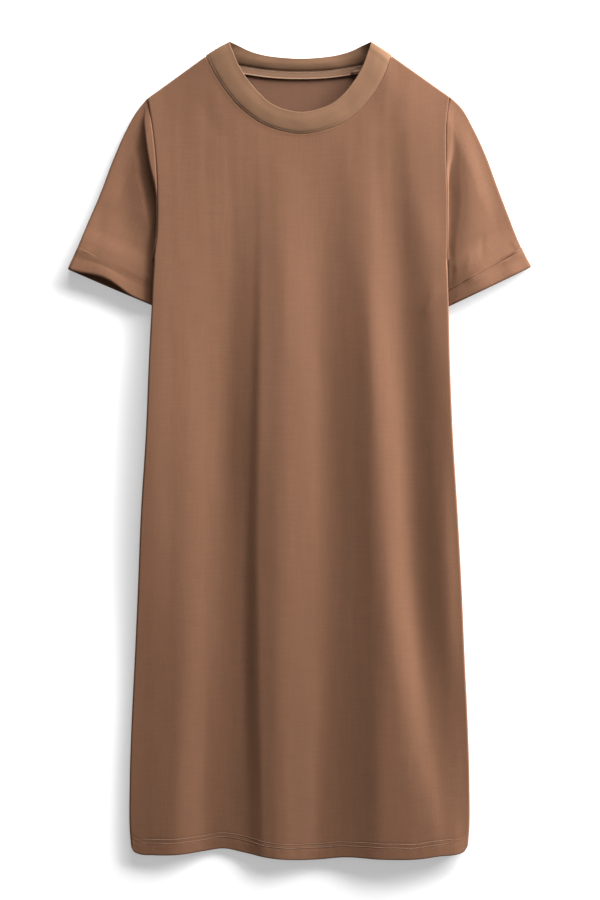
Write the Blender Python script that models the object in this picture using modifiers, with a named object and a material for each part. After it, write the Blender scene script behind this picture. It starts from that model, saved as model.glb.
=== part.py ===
"""T-shirt dress laid flat on its back: the solid form of its cut and sewn pieces.

Front and back panels meet in rolled side and shoulder folds. Each sleeve is a tube whose
inner fold runs under the body's side, and its cuff is turned up over its end. The rib
neckband is one ring: its front lies on the front panel's level, its back stands up.

Frame: +X is the wearer's left, +Y points to the neck, +Z is up from the table. The
origin is on the table at the middle of the laid-out dress. Sizes are in millimetres in
the tables below and are scaled to metres when the meshes are made.
"""
import math

import bmesh
import bpy
import numpy as np

MM = 0.001

# ---------------------------------------------------------------- named sizes
CLOTH = 1.4           # wall of the jersey panels, sleeves and cuffs
RIB = 2.4             # wall of the doubled rib neckband
TAPE = 1.0            # wall of the neck tape
TAPE_WIDTH = 10.0
GAP = 0.3             # clearance between neighbouring pieces
SEAM_GAP = 0.60       # mid-surface clearance where two rolled edges meet
ROLL = 4.5            # how far in from a fold edge the cloth turns over
BACK_Z = CLOTH / 2    # mid-surface height of cloth lying on the table
STACK = CLOTH + GAP   # one more layer of cloth
CUFF_GAP_Z = STACK + BACK_Z   # sleeve mid-surface above the cuff's lower layer
PINCH = 2.2           # spacing of the two sleeve layers where the body presses on them
OUTER_FACE = CLOTH / 2        # cloth outside the mid-surface at an outline

# Stations along the body (y), from the neck to the hem.
STATION_Y = (466, 368, 306, 184, 0, -184, -368, -501)

# Fold lines of the front, from the wearer's right edge to the left edge.
# name, sharpness of its crest (0 round, 1 sharp), then x at each station.
FOLD_X = (
    ("edge_right", 0.0, (-170, -173, -170, -175, -184, -194, -201, -200)),
    ("lap_right", 0.0, (-162, -162, -159, -157, -147, -145, -147, -147)),
    ("valley_right", 0.0, (-87, -87, -91, -96, -99, -96, -99, -99)),
    ("kink", 1.0, (-53, -53, -53, -52, -54, -58, -53, -52)),
    ("crest_mid", 0.0, (-23, -23, -27, -26, -21, -23, -29, -25)),
    ("valley_mid", 0.0, (34, 34, 32, 32, 34, 34, 32, 26)),
    ("crest_left", 0.5, (76, 76, 81, 87, 94, 103, 103, 105)),
    ("valley_left", 0.0, (118, 118, 122, 127, 135, 147, 184, 192)),
    ("lap_left", 0.2, (141, 145, 153, 167, 177, 179, 197, 199)),
    ("edge_left", 0.0, (170, 174, 176, 178, 184, 192, 204, 204)),
)

# Height of the mid-surface on each fold line at each station.
FOLD_Z = (
    ("edge_right", (8.6, 9.5, 9.8, 12.6, 10.8, 8.8, 6.6, 6.8)),
    ("lap_right", (8.8, 9.6, 9.8, 10.9, 10.6, 9.3, 8.6, 8.6)),
    ("valley_right", (9.6, 11.4, 10.3, 7.6, 5.0, 4.2, 3.8, 3.8)),
    ("kink", (10.4, 12.2, 11.9, 11.3, 10.9, 10.5, 10.7, 9.4)),
    ("crest_mid", (11.0, 12.6, 12.9, 13.1, 12.7, 13.2, 13.0, 11.9)),
    ("valley_mid", (11.0, 12.2, 10.7, 8.2, 7.2, 8.0, 8.4, 8.7)),
    ("crest_left", (10.6, 12.4, 12.2, 13.1, 14.2, 14.9, 15.6, 15.2)),
    ("valley_left", (9.8, 10.8, 9.5, 6.8, 6.5, 6.4, 7.2, 8.7)),
    ("lap_left", (9.2, 11.3, 11.2, 10.8, 11.5, 9.8, 6.8, 7.8)),
    ("edge_left", (8.6, 10.4, 10.6, 12.6, 10.5, 7.2, 6.3, 7.0)),
)

# Side folds from the underarm to the hem: y, x at the wearer's right, x at the left.
SIDES = (
    (230.4, -178.9, 180.2),
    (203.0, -180.3, 180.9),
    (176.5, -181.4, 181.4),
    (117.6, -185.0, 182.6),
    (19.6, -188.7, 186.3),
    (-78.4, -194.9, 192.4),
    (-166.7, -198.5, 197.3),
    (-254.9, -202.2, 201.0),
    (-333.3, -205.9, 204.7),
    (-411.8, -208.3, 207.1),
    (-468.0, -208.0, 206.6),
    (-484.0, -206.6, 205.2),
)

# Armhole seams from the underarm up to the shoulder: y right, x right, y left, x left.
ARMHOLES = (
    (230.4, -178.9, 230.4, 180.2),
    (263.5, -174.6, 263.5, 180.2),
    (306.4, -174.0, 306.4, 180.2),
    (343.1, -175.2, 367.7, 178.3),
    (392.2, -180.1, 398.3, 178.6),
    (430.1, -186.3, 432.0, 182.6),
)

# Hem edge: x, y.
HEM = (
    (-206.6, -484.0),
    (-203.0, -491.5),
    (-196.0, -494.5),
    (-180.0, -495.5),
    (-147.0, -495.0),
    (-117.0, -491.0),
    (-93.0, -488.0),
    (-69.0, -492.5),
    (-40.0, -498.5),
    (-10.0, -501.2),
    (20.0, -501.0),
    (55.0, -498.0),
    (100.0, -500.0),
    (145.0, -499.5),
    (172.0, -496.0),
    (190.0, -494.5),
    (200.0, -491.5),
    (205.2, -484.0),
)

# Neckband, row by row from the centre front over the shoulder to the centre back.
# row, seam: y, x right, x left; free edge: y, x right, x left, z.
NECKBAND = (
    ("front_centre", 387.3, 1.2, 1.2, 414.2, 1.2, 1.2, 12.6),
    ("front_1", 391.0, -23.0, 26.0, 417.6, -19.0, 22.0, 12.6),
    ("front_2", 399.5, -46.6, 50.0, 425.5, -37.0, 40.5, 12.7),
    ("front_3", 411.0, -64.0, 67.0, 437.5, -50.0, 54.5, 12.9),
    ("front_4", 425.2, -79.7, 81.0, 450.5, -61.5, 65.0, 13.1),
    ("front_5", 439.5, -91.0, 92.0, 462.0, -69.5, 72.5, 13.3),
    ("front_6", 454.5, -101.0, 100.8, 474.5, -76.5, 78.5, 13.4),
    ("front_7", 470.5, -109.5, 106.8, 488.5, -82.3, 83.5, 13.5),
    ("front_8", 480.0, -113.6, 110.1, 496.5, -85.4, 86.3, 13.1),
    ("shoulder", 483.9, -115.2, 111.5, 500.4, -85.9, 86.6, 11.0),
    ("back_8", 481.9, -110.5, 107.0, 499.6, -82.6, 84.0, 9.0),
    ("back_7", 479.2, -103.0, 100.0, 496.3, -76.0, 77.0, 8.8),
    ("back_6", 474.0, -85.0, 83.0, 489.6, -62.0, 63.0, 10.8),
    ("back_5", 468.8, -62.0, 62.0, 485.0, -46.5, 48.0, 14.0),
    ("back_3", 464.9, -33.0, 34.0, 481.4, -25.0, 27.0, 17.0),
    ("back_centre", 463.6, 1.0, 1.0, 479.9, 1.0, 1.0, 18.0),
)
BAND_BACK_Z = 1.4     # mid-surface height of the band at the back neck seam

# Outer folds of the sleeves, shoulder to cuff: x right, y right, x left, y left.
SLEEVE_FOLDS = (
    (-186.3, 430.1, 182.6, 432.0),
    (-200.6, 414.2, 195.4, 419.1),
    (-215.3, 388.5, 210.1, 393.4),
    (-229.8, 355.4, 224.9, 361.5),
    (-244.5, 315.0, 239.6, 322.3),
    (-259.0, 278.2, 254.2, 284.3),
    (-271.6, 244.5, 267.0, 251.0),
    (-279.2, 226.2, 279.4, 227.6),
)
SLEEVE_INNER_END = (-160.5, 172.0, 162.7, 169.8)   # mouth corner under the body

# Soft valley in each sleeve beside its armhole, top to bottom.
# y, x right, x left, mid-surface height, width of the slope up to the seam.
SLEEVE_VALLEY = (
    (398.0, -197.3, 197.3, 8.4, 17.0),
    (355.0, -192.4, 194.9, 6.0, 16.0),
    (321.0, -183.8, 191.2, 4.6, 10.0),
    (282.0, -180.1, 188.7, 4.2, 7.0),
    (245.0, -178.5, 184.5, 3.8, 5.5),
    (205.0, -182.0, 183.0, 3.8, 5.5),
    (165.0, -184.0, 184.0, 4.8, 5.5),
)
FOLD_DIVE = 7.0       # the inner fold runs beside the body this far before going under it
SLEEVE_EDGE_Z = 7.6   # top layer near the outer fold
SLEEVE_CROWN = 3.4    # how much higher it is towards the middle
SLEEVE_ROLL_IN = 1.3  # turn of the fold pressed under the body
MOUTH_ARCH = {"right": 4.5, "left": 0.0}   # lift of the mouth's top edge, in plan

# Cuffs: turned-up depth at the outer fold and at the inner fold.
CUFF_DEPTH = {"right": (27.5, 27.3), "left": (31.0, 24.0)}

# Section of a cuff: distance past the sleeve's end, distance out from the sleeve's
# mid-surface. The last rows turn over the sleeve's raw end.
CUFF_SECTION = (
    (-1.000, 1.05),
    (-1.000, 1.90),
    (-0.985, 2.40),
    (-0.640, 2.40),
    (-0.300, 2.40),
    (-0.020, 2.40),
    (0.045, 2.15),
    (0.075, 1.20),
    (0.075, 0.00),
    (0.060, -0.70),
    (0.018, -0.70),
    (0.018, 1.05),
    (-0.300, 1.05),
    (-0.640, 1.05),
)

# Lift of the back panel over the sleeve tucked beneath it: distance below the
# underarm, lift.
TUCK_LIFT = (
    (-34.0, 0.0),
    (-14.0, 0.9),
    (0.0, 2.8),
    (6.0, 4.6),
    (13.0, 7.1),
    (19.0, 8.1),
    (71.0, 8.1),
    (92.0, 4.0),
    (116.0, 0.0),
)
TUCK_MARGIN = 7.0     # the lift stays full this far past the sleeve's fold
TUCK_FADE = 38.0      # and dies out over this distance

# Rows of both panels up the side fold, and the shared stations down the armhole that
# panels and sleeve strips both meet, in mm from the shoulder.
SIDE_ROWS = (0.0, 0.004, 0.03, 0.09, 0.17, 0.25, 0.34, 0.43, 0.52, 0.61, 0.70, 0.78,
             0.85, 0.905, 0.945, 0.97, 0.985, 0.994)
ARM_STATIONS = (0.0, 0.17, 1.0, 3.0, 5.6, 11.0, 22.0, 40.0, 65.0, 95.0, 125.0, 152.0,
                172.0, 186.0, 194.0, 198.5)
ROW_COUNT = len(SIDE_ROWS) + 1 + len(ARM_STATIONS)
FIRST_STRIP = 5       # the first strip of a sleeve ends on this armhole station

# Strips of a sleeve above the underarm: share of the outer fold, one row for each
# armhole station from the first strip on, the last one for the underarm itself.
STRIPS_ARM = (0.0, 0.03, 0.08, 0.145, 0.23, 0.32, 0.41, 0.49, 0.555, 0.61, 0.655, 0.695)
# Strips below the underarm: share of the outer fold, share of the inner fold.
STRIPS_FOLD = (
    (0.712, 0.05),
    (0.740, 0.13),
    (0.785, 0.30),
    (0.850, 0.50),
    (0.925, 0.75),
    (1.000, 1.00),
)

COLOURS = {
    "body": (0.30, 0.145, 0.085, 1.0),
    "cuff": (0.33, 0.165, 0.10, 1.0),
    "rib": (0.27, 0.13, 0.075, 1.0),
    "tape": (0.36, 0.19, 0.12, 1.0),
}


# ---------------------------------------------------------------- curve helpers
def smooth(t):
    """Ease from 0 to 1."""
    t = np.clip(t, 0.0, 1.0)
    return t * t * (3.0 - 2.0 * t)


def hermite(knots, values, t, closed_span=None):
    """Cubic through (knots, values) at t; a closed curve repeats after closed_span."""
    k = np.asarray(knots, float)
    v = np.asarray(values, float)
    if closed_span is not None:
        k = np.concatenate(([k[-1] - closed_span], k, [k[0] + closed_span]))
        v = np.concatenate(([v[-1]], v, [v[0]]))
        k = np.concatenate(([k[-3] - closed_span], k, [k[2] + closed_span]))
        v = np.concatenate(([v[-3]], v, [v[2]]))
    t = np.clip(np.asarray(t, float), k[0], k[-1])
    slope = np.gradient(v, k)
    i = np.clip(np.searchsorted(k, t, side="right") - 1, 0, len(k) - 2)
    h = k[i + 1] - k[i]
    f = (t - k[i]) / h
    a = (1 + 2 * f) * (1 - f) ** 2
    b = f * (1 - f) ** 2
    c = f * f * (3 - 2 * f)
    d = f * f * (f - 1)
    return a * v[i] + b * h * slope[i] + c * v[i + 1] + d * h * slope[i + 1]


class Path:
    """A plane curve through points, read by the distance run along it."""

    def __init__(self, points, samples=400):
        p = np.asarray(points, float)
        chord = np.concatenate(([0.0], np.cumsum(np.hypot(*np.diff(p, axis=0).T))))
        t = np.linspace(0.0, chord[-1], samples)
        self.xy = np.column_stack([hermite(chord, p[:, 0], t), hermite(chord, p[:, 1], t)])
        run = np.hypot(*np.diff(self.xy, axis=0).T)
        self.run = np.concatenate(([0.0], np.cumsum(run)))
        self.length = self.run[-1]

    def at(self, distance):
        d = np.clip(distance, 0.0, self.length)
        x = np.interp(d, self.run, self.xy[:, 0])
        y = np.interp(d, self.run, self.xy[:, 1])
        return np.stack([x, y], axis=-1)


def distance_to(points, line):
    """Least distance from each point to a polyline."""
    p = np.asarray(points, float)[..., None, :]
    a = line[:-1]
    b = line[1:]
    ab = b - a
    t = np.clip(((p - a) * ab).sum(-1) / (ab * ab).sum(-1), 0.0, 1.0)
    near = a + t[..., None] * ab
    return np.sqrt(((p - near) ** 2).sum(-1)).min(-1)


def turn(distance, width):
    """Share of full height at a distance in from a rolled edge: a quarter turn."""
    t = 1.0 - np.clip(distance / width, 0.0, 1.0)
    return np.sqrt(np.clip(1.0 - t * t, 0.0, 1.0))


# ---------------------------------------------------------------- outlines
SIDE_SIGN = {"right": -1.0, "left": 1.0}


def side_path(side):
    """Side fold, underarm to hem, moved in by half the cloth."""
    col = 1 if side == "right" else 2
    inset = -SIDE_SIGN[side] * OUTER_FACE
    return Path([(row[col] + inset, row[0]) for row in SIDES])


def armhole_path(side):
    """Armhole seam, underarm to shoulder."""
    if side == "right":
        rows = [(row[1], row[0]) for row in ARMHOLES]
    else:
        rows = [(row[3], row[2]) for row in ARMHOLES]
    rows[0] = (rows[0][0] - SIDE_SIGN[side] * OUTER_FACE, rows[0][1])
    return Path(rows)


def shoulder_line(side):
    """Shoulder fold from the armhole to the neck."""
    arm = armhole_path(side).xy[-1]
    row = next(r for r in NECKBAND if r[0] == "shoulder")
    x = row[2] if side == "right" else row[3]
    return np.array([arm, (x, row[1])])


SIDE = {s: side_path(s) for s in SIDE_SIGN}
ARMHOLE = {s: armhole_path(s) for s in SIDE_SIGN}
SHOULDER = {s: shoulder_line(s) for s in SIDE_SIGN}
UNDERARM = {s: ARMHOLE[s].xy[0] for s in SIDE_SIGN}


def neck_seam(front):
    """Seam of the band from the wearer's right shoulder to the left one."""
    names = [r[0] for r in NECKBAND]
    top = names.index("shoulder")
    rows = NECKBAND[: top + 1] if front else NECKBAND[top:][::-1]
    right = [(r[2], r[1]) for r in rows[::-1]]
    left = [(r[3], r[1]) for r in rows[1:]]
    return Path(right + left)


def boundary_point(side, row):
    """Point of the whole side boundary (hem to shoulder) on a row of the panels."""
    if row < len(SIDE_ROWS):
        return SIDE[side].at((1.0 - SIDE_ROWS[row]) * SIDE[side].length)
    arm = ARMHOLE[side]
    station = row - len(SIDE_ROWS)
    if station == 0:
        return arm.at(0.0)
    return arm.at(arm.length - ARM_STATIONS[len(ARM_STATIONS) - station])


def boundary_share(row):
    """Share of the panel's height at a row."""
    y = [boundary_point(side, row)[1] for side in SIDE_SIGN]
    low = [boundary_point(side, 0)[1] for side in SIDE_SIGN]
    high = [boundary_point(side, ROW_COUNT - 1)[1] for side in SIDE_SIGN]
    return (sum(y) - sum(low)) / (sum(high) - sum(low))


# ---------------------------------------------------------------- heights
def tuck_lift(x, y):
    """Lift of the back panel over the tucked sleeves."""
    total = np.zeros_like(x)
    below = [r[0] for r in TUCK_LIFT]
    lifts = [r[1] for r in TUCK_LIFT]
    for side, sign in SIDE_SIGN.items():
        ux, uy = UNDERARM[side]
        cx, cy = SLEEVE_INNER_END[:2] if side == "right" else SLEEVE_INNER_END[2:]
        share = np.clip((uy - y) / (uy - cy), 0.0, 1.0)
        fold_x = ux + (cx - ux) * share
        inside = -sign * (x - fold_x) - TUCK_MARGIN
        amount = np.interp(uy - y, below, lifts)
        total = total + amount * (1.0 - smooth(inside / TUCK_FADE))
    return total


def back_height(x, y):
    """Mid-surface height of the back panel away from its folds."""
    return BACK_Z + tuck_lift(x, y)


def front_height(x, y):
    """Mid-surface height of the front panel away from its folds."""
    stations = np.array(STATION_Y[::-1], float)
    xs = np.stack([hermite(stations, row[2][::-1], y) for row in FOLD_X])
    zs = np.stack([hermite(stations, row[1][::-1], y) for row in FOLD_Z])
    z = np.where(x <= xs[0], zs[0], zs[-1])
    for i in range(len(FOLD_X) - 1):
        t = np.clip((x - xs[i]) / (xs[i + 1] - xs[i]), 0.0, 1.0)
        start_sharp = FOLD_X[i][1]
        end_sharp = FOLD_X[i + 1][1]
        ease = smooth(t)
        ease = ease + end_sharp * (t * t - ease) + start_sharp * (1 - (1 - t) ** 2 - ease)
        inside = (x > xs[i]) & (x <= xs[i + 1])
        z = np.where(inside, zs[i] + (zs[i + 1] - zs[i]) * ease, z)
    return np.maximum(z, back_height(x, y) + STACK + 0.3)


def fold_distance(points):
    """Distance to the nearest side or shoulder fold of the body."""
    lines = [SIDE[s].xy for s in SIDE_SIGN] + [SHOULDER[s] for s in SIDE_SIGN]
    return np.min([distance_to(points, line) for line in lines], axis=0)


def body_height(points, front):
    """Mid-surface height of a body panel, rolled at its folds."""
    x = points[..., 0]
    y = points[..., 1]
    top = front_height(x, y)
    low = back_height(x, y)
    seam = (top + low) / 2
    share = turn(fold_distance(points), ROLL)
    if front:
        return seam + SEAM_GAP / 2 + (top - seam - SEAM_GAP / 2) * share
    return seam - SEAM_GAP / 2 - (seam - SEAM_GAP / 2 - low) * share


# ---------------------------------------------------------------- mesh helpers
def new_object(name, bm, colour, collection):
    mesh = bpy.data.meshes.new(name)
    bmesh.ops.recalc_face_normals(bm, faces=bm.faces)
    for face in bm.faces:
        face.smooth = True
    bm.to_mesh(mesh)
    bm.free()
    obj = bpy.data.objects.new(name, mesh)
    collection.objects.link(obj)
    mat = bpy.data.materials.new(name)
    mat.use_nodes = True
    bsdf = mat.node_tree.nodes["Principled BSDF"]
    bsdf.inputs["Base Color"].default_value = COLOURS[colour]
    bsdf.inputs["Roughness"].default_value = 0.9
    mesh.materials.append(mat)
    return obj


def mapped_grid(points, wrap_columns=False, wrap_rows=False):
    """Grid mesh whose vertex (row, column) goes to points[row, column], in mm."""
    rows, cols = points.shape[:2]
    bm = bmesh.new()
    bmesh.ops.create_grid(bm, x_segments=cols - 1, y_segments=rows - 1, size=0.5)
    for vert in bm.verts:
        i = round((vert.co.x + 0.5) * (cols - 1))
        j = round((vert.co.y + 0.5) * (rows - 1))
        vert.co = [float(c) * MM for c in points[j, i]]
    if wrap_columns or wrap_rows:
        bmesh.ops.remove_doubles(bm, verts=bm.verts, dist=1e-6)
    return bm


def thicken(obj, thickness):
    """Give an open surface its wall, half to each side."""
    mod = obj.modifiers.new("Wall", "SOLIDIFY")
    mod.thickness = thickness * MM
    mod.offset = 0.0
    mod.use_even_offset = False
    mod.use_quality_normals = True
    return obj


# ---------------------------------------------------------------- body panels
EDGE_STEPS = np.array([0.0, 0.03, 0.181, 0.53, 1.0])
EVEN_STEPS = np.linspace(0.0, 1.0, len(EDGE_STEPS))
SHOULDER_SHARE = 0.17   # share of the columns on each shoulder


def spread(count, first, last, length, roll_first, roll_last):
    """Shares 0..1 with close steps over the turns at both ends."""
    a = first * (EDGE_STEPS * roll_first + EVEN_STEPS * (1 - roll_first)) / length
    b = last * (EDGE_STEPS * roll_last + EVEN_STEPS * (1 - roll_last)) / length
    inner = np.linspace(a[-1], 1.0 - b[-1], count - 2 * len(EDGE_STEPS) + 3)
    return np.concatenate([a[:-1], inner, (1.0 - b[:-1])[::-1]])


def top_point(neck, s):
    """Top edge of a panel: shoulder, neckline, shoulder."""
    s = np.asarray(s, float)
    right = SHOULDER["right"]
    left = SHOULDER["left"]
    a = (s / SHOULDER_SHARE)[..., None]
    b = ((s - (1 - SHOULDER_SHARE)) / SHOULDER_SHARE)[..., None]
    mid = neck.at((s - SHOULDER_SHARE) / (1 - 2 * SHOULDER_SHARE) * neck.length)
    out = np.where(a < 1.0, right[0] + (right[1] - right[0]) * a, mid)
    return np.where(b > 0.0, left[1] + (left[0] - left[1]) * b, out)


def offset_neck(front, amount):
    """Neckline moved away from the neck opening, its ends kept on the shoulder folds."""
    path = neck_seam(front)
    p = path.xy
    d = np.gradient(p, axis=0)
    n = np.column_stack([d[:, 1], -d[:, 0]]) / np.hypot(d[:, 0], d[:, 1])[:, None]
    moved = p + n * amount
    path.xy = moved
    path.run = np.concatenate(([0.0], np.cumsum(np.hypot(*np.diff(moved, axis=0).T))))
    path.length = path.run[-1]
    return path


def body_panel(name, front, columns, hem_short, collection):
    """Front or back panel: a patch stretched over its four edges."""
    neck = offset_neck(front, GAP + (0.1 if front else 0.5))
    rows_x = [(SIDE["right"].xy[-1][0], HEM[0][1])] + list(HEM[1:-1])
    hem = Path(rows_x + [(SIDE["left"].xy[-1][0], HEM[-1][1])])
    rows = ROW_COUNT
    t = np.array([boundary_share(j) for j in range(rows)])
    grid = np.zeros((rows, columns + 1, 3))
    for j, tj in enumerate(t):
        lefts = boundary_point("right", j)
        rights = boundary_point("left", j)
        width = rights[0] - lefts[0]
        folded = 1.0 - float(smooth((j - len(SIDE_ROWS)) / 2.0))
        s = spread(columns, ROLL, ROLL, width, folded, folded)
        bottom = hem.at(s * hem.length)
        top = top_point(neck, s)
        side = lefts[None, :] * (1 - s)[:, None] + rights[None, :] * s[:, None]
        ends = bottom * (1 - tj) + top * tj
        b0, b1 = hem.xy[0], hem.xy[-1]
        t0, t1 = SHOULDER["right"][0], SHOULDER["left"][0]
        low = b0[None, :] * (1 - s)[:, None] + b1[None, :] * s[:, None]
        high = t0[None, :] * (1 - s)[:, None] + t1[None, :] * s[:, None]
        plan = side + ends - (low * (1 - tj) + high * tj)
        grid[j, :, :2] = plan
    grid[..., 1] += hem_short * np.clip(1 - t / 0.02, 0, 1)[:, None]
    grid[..., 2] = body_height(grid[..., :2], front)
    bm = mapped_grid(grid)
    return thicken(new_object(name, bm, "body", collection), CLOTH)


# ---------------------------------------------------------------- sleeves
class Sleeve:
    """Laid-out sleeve: strips run from its outer fold to the armhole or inner fold."""

    def __init__(self, side):
        self.side = side
        self.sign = SIDE_SIGN[side]
        c = 0 if side == "right" else 2
        arm = ARMHOLE[side].xy[::-1]
        down = ARMHOLE[side].run[-1] - ARMHOLE[side].run[::-1]
        clear = GAP + 0.1 + 0.5 * smooth((down - 60.0) / 50.0)
        clear = clear + 0.5 * smooth((down - down[-1] + 14.0) / 12.0)
        clear = clear + 0.5 * smooth((8.0 - down) / 8.0)
        arm = arm + np.column_stack([self.sign * clear, 0 * clear])
        fold_rows = [(r[c], r[c + 1]) for r in SLEEVE_FOLDS]
        self.outer = Path([tuple(arm[0])] + fold_rows[1:])
        self.arm = arm
        end = np.array(SLEEVE_INNER_END[c : c + 2])
        dive = arm[-1] + np.array([-0.4 * self.sign, -FOLD_DIVE])
        self.fold = np.array([arm[-1], dive, end])
        self.inner_xy = np.vstack([arm, dive[None, :], end[None, :]])
        self.arm_length = down[-1]
        step = np.hypot(*np.diff(self.fold, axis=0).T)
        self.inner_run = np.concatenate((down, down[-1] + np.cumsum(step)))
        self.inner_length = self.inner_run[-1]
        mouth = end - self.outer.xy[-1]
        self.mouth = mouth / np.hypot(*mouth)
        up = np.array([-self.mouth[1], self.mouth[0]])
        self.up = up if up[1] > 0 else -up
        self.mouth_start = self.outer.xy[-1]

    def inner_at(self, distance):
        d = np.clip(distance, 0.0, self.inner_length)
        x = np.interp(d, self.inner_run, self.inner_xy[:, 0])
        y = np.interp(d, self.inner_run, self.inner_xy[:, 1])
        return np.array([x, y])

    def heights(self, points):
        """Mid-surface heights of the upper and lower layers before the folds."""
        x = points[..., 0]
        y = points[..., 1]
        rows = np.array(SLEEVE_VALLEY, float)[::-1]
        col = 1 if self.side == "right" else 2
        valley_x = hermite(rows[:, 0], rows[:, col], y)
        valley_z = hermite(rows[:, 0], rows[:, 3], y)
        slope_w = hermite(rows[:, 0], rows[:, 4], y)
        past_mouth = ((points - self.mouth_start) * self.up).sum(-1)
        near_cuff = 1.0 - smooth((past_mouth - 34.0) / 22.0)
        to_arm = distance_to(points, self.arm)
        seam_y = np.clip(y, UNDERARM[self.side][1], ARMHOLE[self.side].xy[-1][1])
        arm_x = np.interp(seam_y, self.arm[::-1, 1], self.arm[::-1, 0])
        body_top = front_height(arm_x, seam_y)
        body_low = back_height(arm_x, seam_y)
        low = BACK_Z + (CUFF_GAP_Z - BACK_Z) * near_cuff
        low = low + (body_low - BACK_Z) * smooth(1.0 - to_arm / 7.0)
        to_outer = distance_to(points, self.outer.xy)
        plateau = SLEEVE_EDGE_Z + SLEEVE_CROWN * smooth((to_outer - 4.0) / 55.0)
        plateau = plateau + 1.0 * near_cuff
        out = np.maximum(0.0, self.sign * (x - valley_x))
        top = valley_z + (plateau - valley_z) * smooth(out / 27.0)
        top = np.maximum(top, low + PINCH)
        top = top + np.maximum(body_top - top, 0.0) * smooth(1.0 - to_arm / slope_w)
        return top, low

    def point(self, o_dist, i_dist, share, layer):
        """Mid-surface point; share 0 at the outer fold, 1 at the inner side."""
        o = self.outer.at(o_dist)
        i = self.inner_at(i_dist)
        p = o + (i - o) * share
        top, low = self.heights(p)
        d_out = distance_to(p, self.outer.xy)
        d_in = distance_to(p, self.fold)
        below = UNDERARM[self.side][1] - p[1]
        roll_in = ROLL + (SLEEVE_ROLL_IN - ROLL) * smooth(below / 8.0)
        part = min(turn(d_out, ROLL), turn(d_in, roll_in))
        mid = (top + low) / 2
        if layer == "front":
            z = mid + (top - mid) * part
            past = ((p - self.mouth_start) * self.up).sum()
            arch = MOUTH_ARCH[self.side] * math.sin(math.pi * min(1.0, share * 1.5)) ** 2
            p = p + self.up * arch * (1.0 - smooth(past / 60.0))
        else:
            z = mid - (mid - low) * part
        return np.array([p[0], p[1], z])

    def shares(self, width, folded):
        """Shares across a strip from the outer fold inwards."""
        f = min(1.0, width / 52.0)
        outer = np.array([0.0, 0.134, 0.5, 1.0]) * ROLL * f / width
        tight = np.array([0.0, 0.134, 0.5, 1.0]) * SLEEVE_ROLL_IN
        loose = np.array([0.0, 1.2, 3.6, 7.5]) * f
        inner = (tight * folded + loose * (1 - folded)) / width
        mid = np.linspace(outer[-1], 1.0 - inner[-1], 9)
        # strips are closer together beside the armhole, where the valley is
        mid = outer[-1] + (mid - outer[-1]) ** 0.86 * (1 - inner[-1] - outer[-1]) ** 0.14
        return np.concatenate([outer[:-1], mid, (1.0 - inner[:-1])[::-1]])

    def ring(self, o_dist, i_dist):
        """Points round the tube: upper layer inner to outer, then the lower layer back."""
        width = float(np.hypot(*(self.outer.at(o_dist) - self.inner_at(i_dist))))
        folded = float(smooth((i_dist - self.arm_length + 1.0) / 8.0))
        s = self.shares(width, folded)
        top = [self.point(o_dist, i_dist, v, "front") for v in s[::-1]]
        low = [self.point(o_dist, i_dist, v, "back") for v in s[1:]]
        return np.array(top + low)


def make_sleeve(side, collection):
    sleeve = Sleeve(side)
    inner = list(ARM_STATIONS[FIRST_STRIP:]) + [sleeve.arm_length]
    fold = sleeve.inner_length - sleeve.arm_length
    strips = list(zip(STRIPS_ARM, inner))
    strips += [(o, sleeve.arm_length + share * fold) for o, share in STRIPS_FOLD]
    rings = [sleeve.ring(o * sleeve.outer.length, i) for o, i in strips]
    grid = np.array(rings)
    bm = mapped_grid(grid, wrap_columns=True)
    obj = new_object("sleeve_" + side, bm, "body", collection)
    return thicken(obj, CLOTH)


def make_cuff(side, collection):
    """Turned-up band: its section is carried round the sleeve's end."""
    sleeve = Sleeve(side)
    deep_out, deep_in = CUFF_DEPTH[side]
    ends = (sleeve.outer.length, sleeve.inner_length)
    reach = sorted({min(0.0, row[0]) for row in CUFF_SECTION} | {-0.05})
    rings = {}
    for a in reach:
        ring = sleeve.ring(ends[0] + a * deep_out, ends[1] + a * deep_in)
        rings[a] = ring[:-1]
    tangent = rings[0.0] - rings[-0.05]
    tangent[:, 2] = 0.0
    tangent /= np.linalg.norm(tangent, axis=1)[:, None]
    section = []
    for a, out in CUFF_SECTION:
        base = rings[min(0.0, a)]
        around = np.roll(base, -1, axis=0) - np.roll(base, 1, axis=0)
        normal = np.cross(around, tangent)
        normal /= np.linalg.norm(normal, axis=1)[:, None]
        if (normal[:, 2] * np.sign(base[:, 2] - base[:, 2].mean())).sum() < 0:
            normal = -normal
        section.append(base + normal * out + tangent * max(0.0, a) * deep_out)
    section.append(section[0])
    grid = np.array(section)
    grid = np.concatenate([grid, grid[:, :1]], axis=1)
    bm = mapped_grid(grid, wrap_columns=True, wrap_rows=True)
    return new_object("cuff_" + side, bm, "cuff", collection)


# ---------------------------------------------------------------- neckband and tape
def band_rings():
    """Closed seam and free-edge curves of the neckband, mid-surface, as samplers."""
    rows = []
    for r in NECKBAND:
        rows.append((r[3], r[1], r[6], r[4], r[7], r[0]))
    for r in NECKBAND[1:-1][::-1]:
        rows.append((r[2], r[1], r[5], r[4], r[7], r[0]))
    seam = np.array([(r[0], r[1]) for r in rows])
    z = []
    for (x, y), row in zip(seam, rows):
        top = float(front_height(np.array(x), np.array(y)))
        if row[5] == "shoulder":
            z.append((top + BAND_BACK_Z) / 2)
        elif row[5].startswith("front"):
            near = {"front_8": 0.86, "front_7": 1.0}.get(row[5], 1.0)
            z.append(BAND_BACK_Z + (top - BAND_BACK_Z) * near)
        else:
            near = {"back_8": 0.10}.get(row[5], 0.0)
            z.append(BAND_BACK_Z + (top - BAND_BACK_Z) * near)
    seam = np.column_stack([seam, z])
    edge = np.array([(r[2], r[3], r[4]) for r in rows])
    return seam, edge


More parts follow.
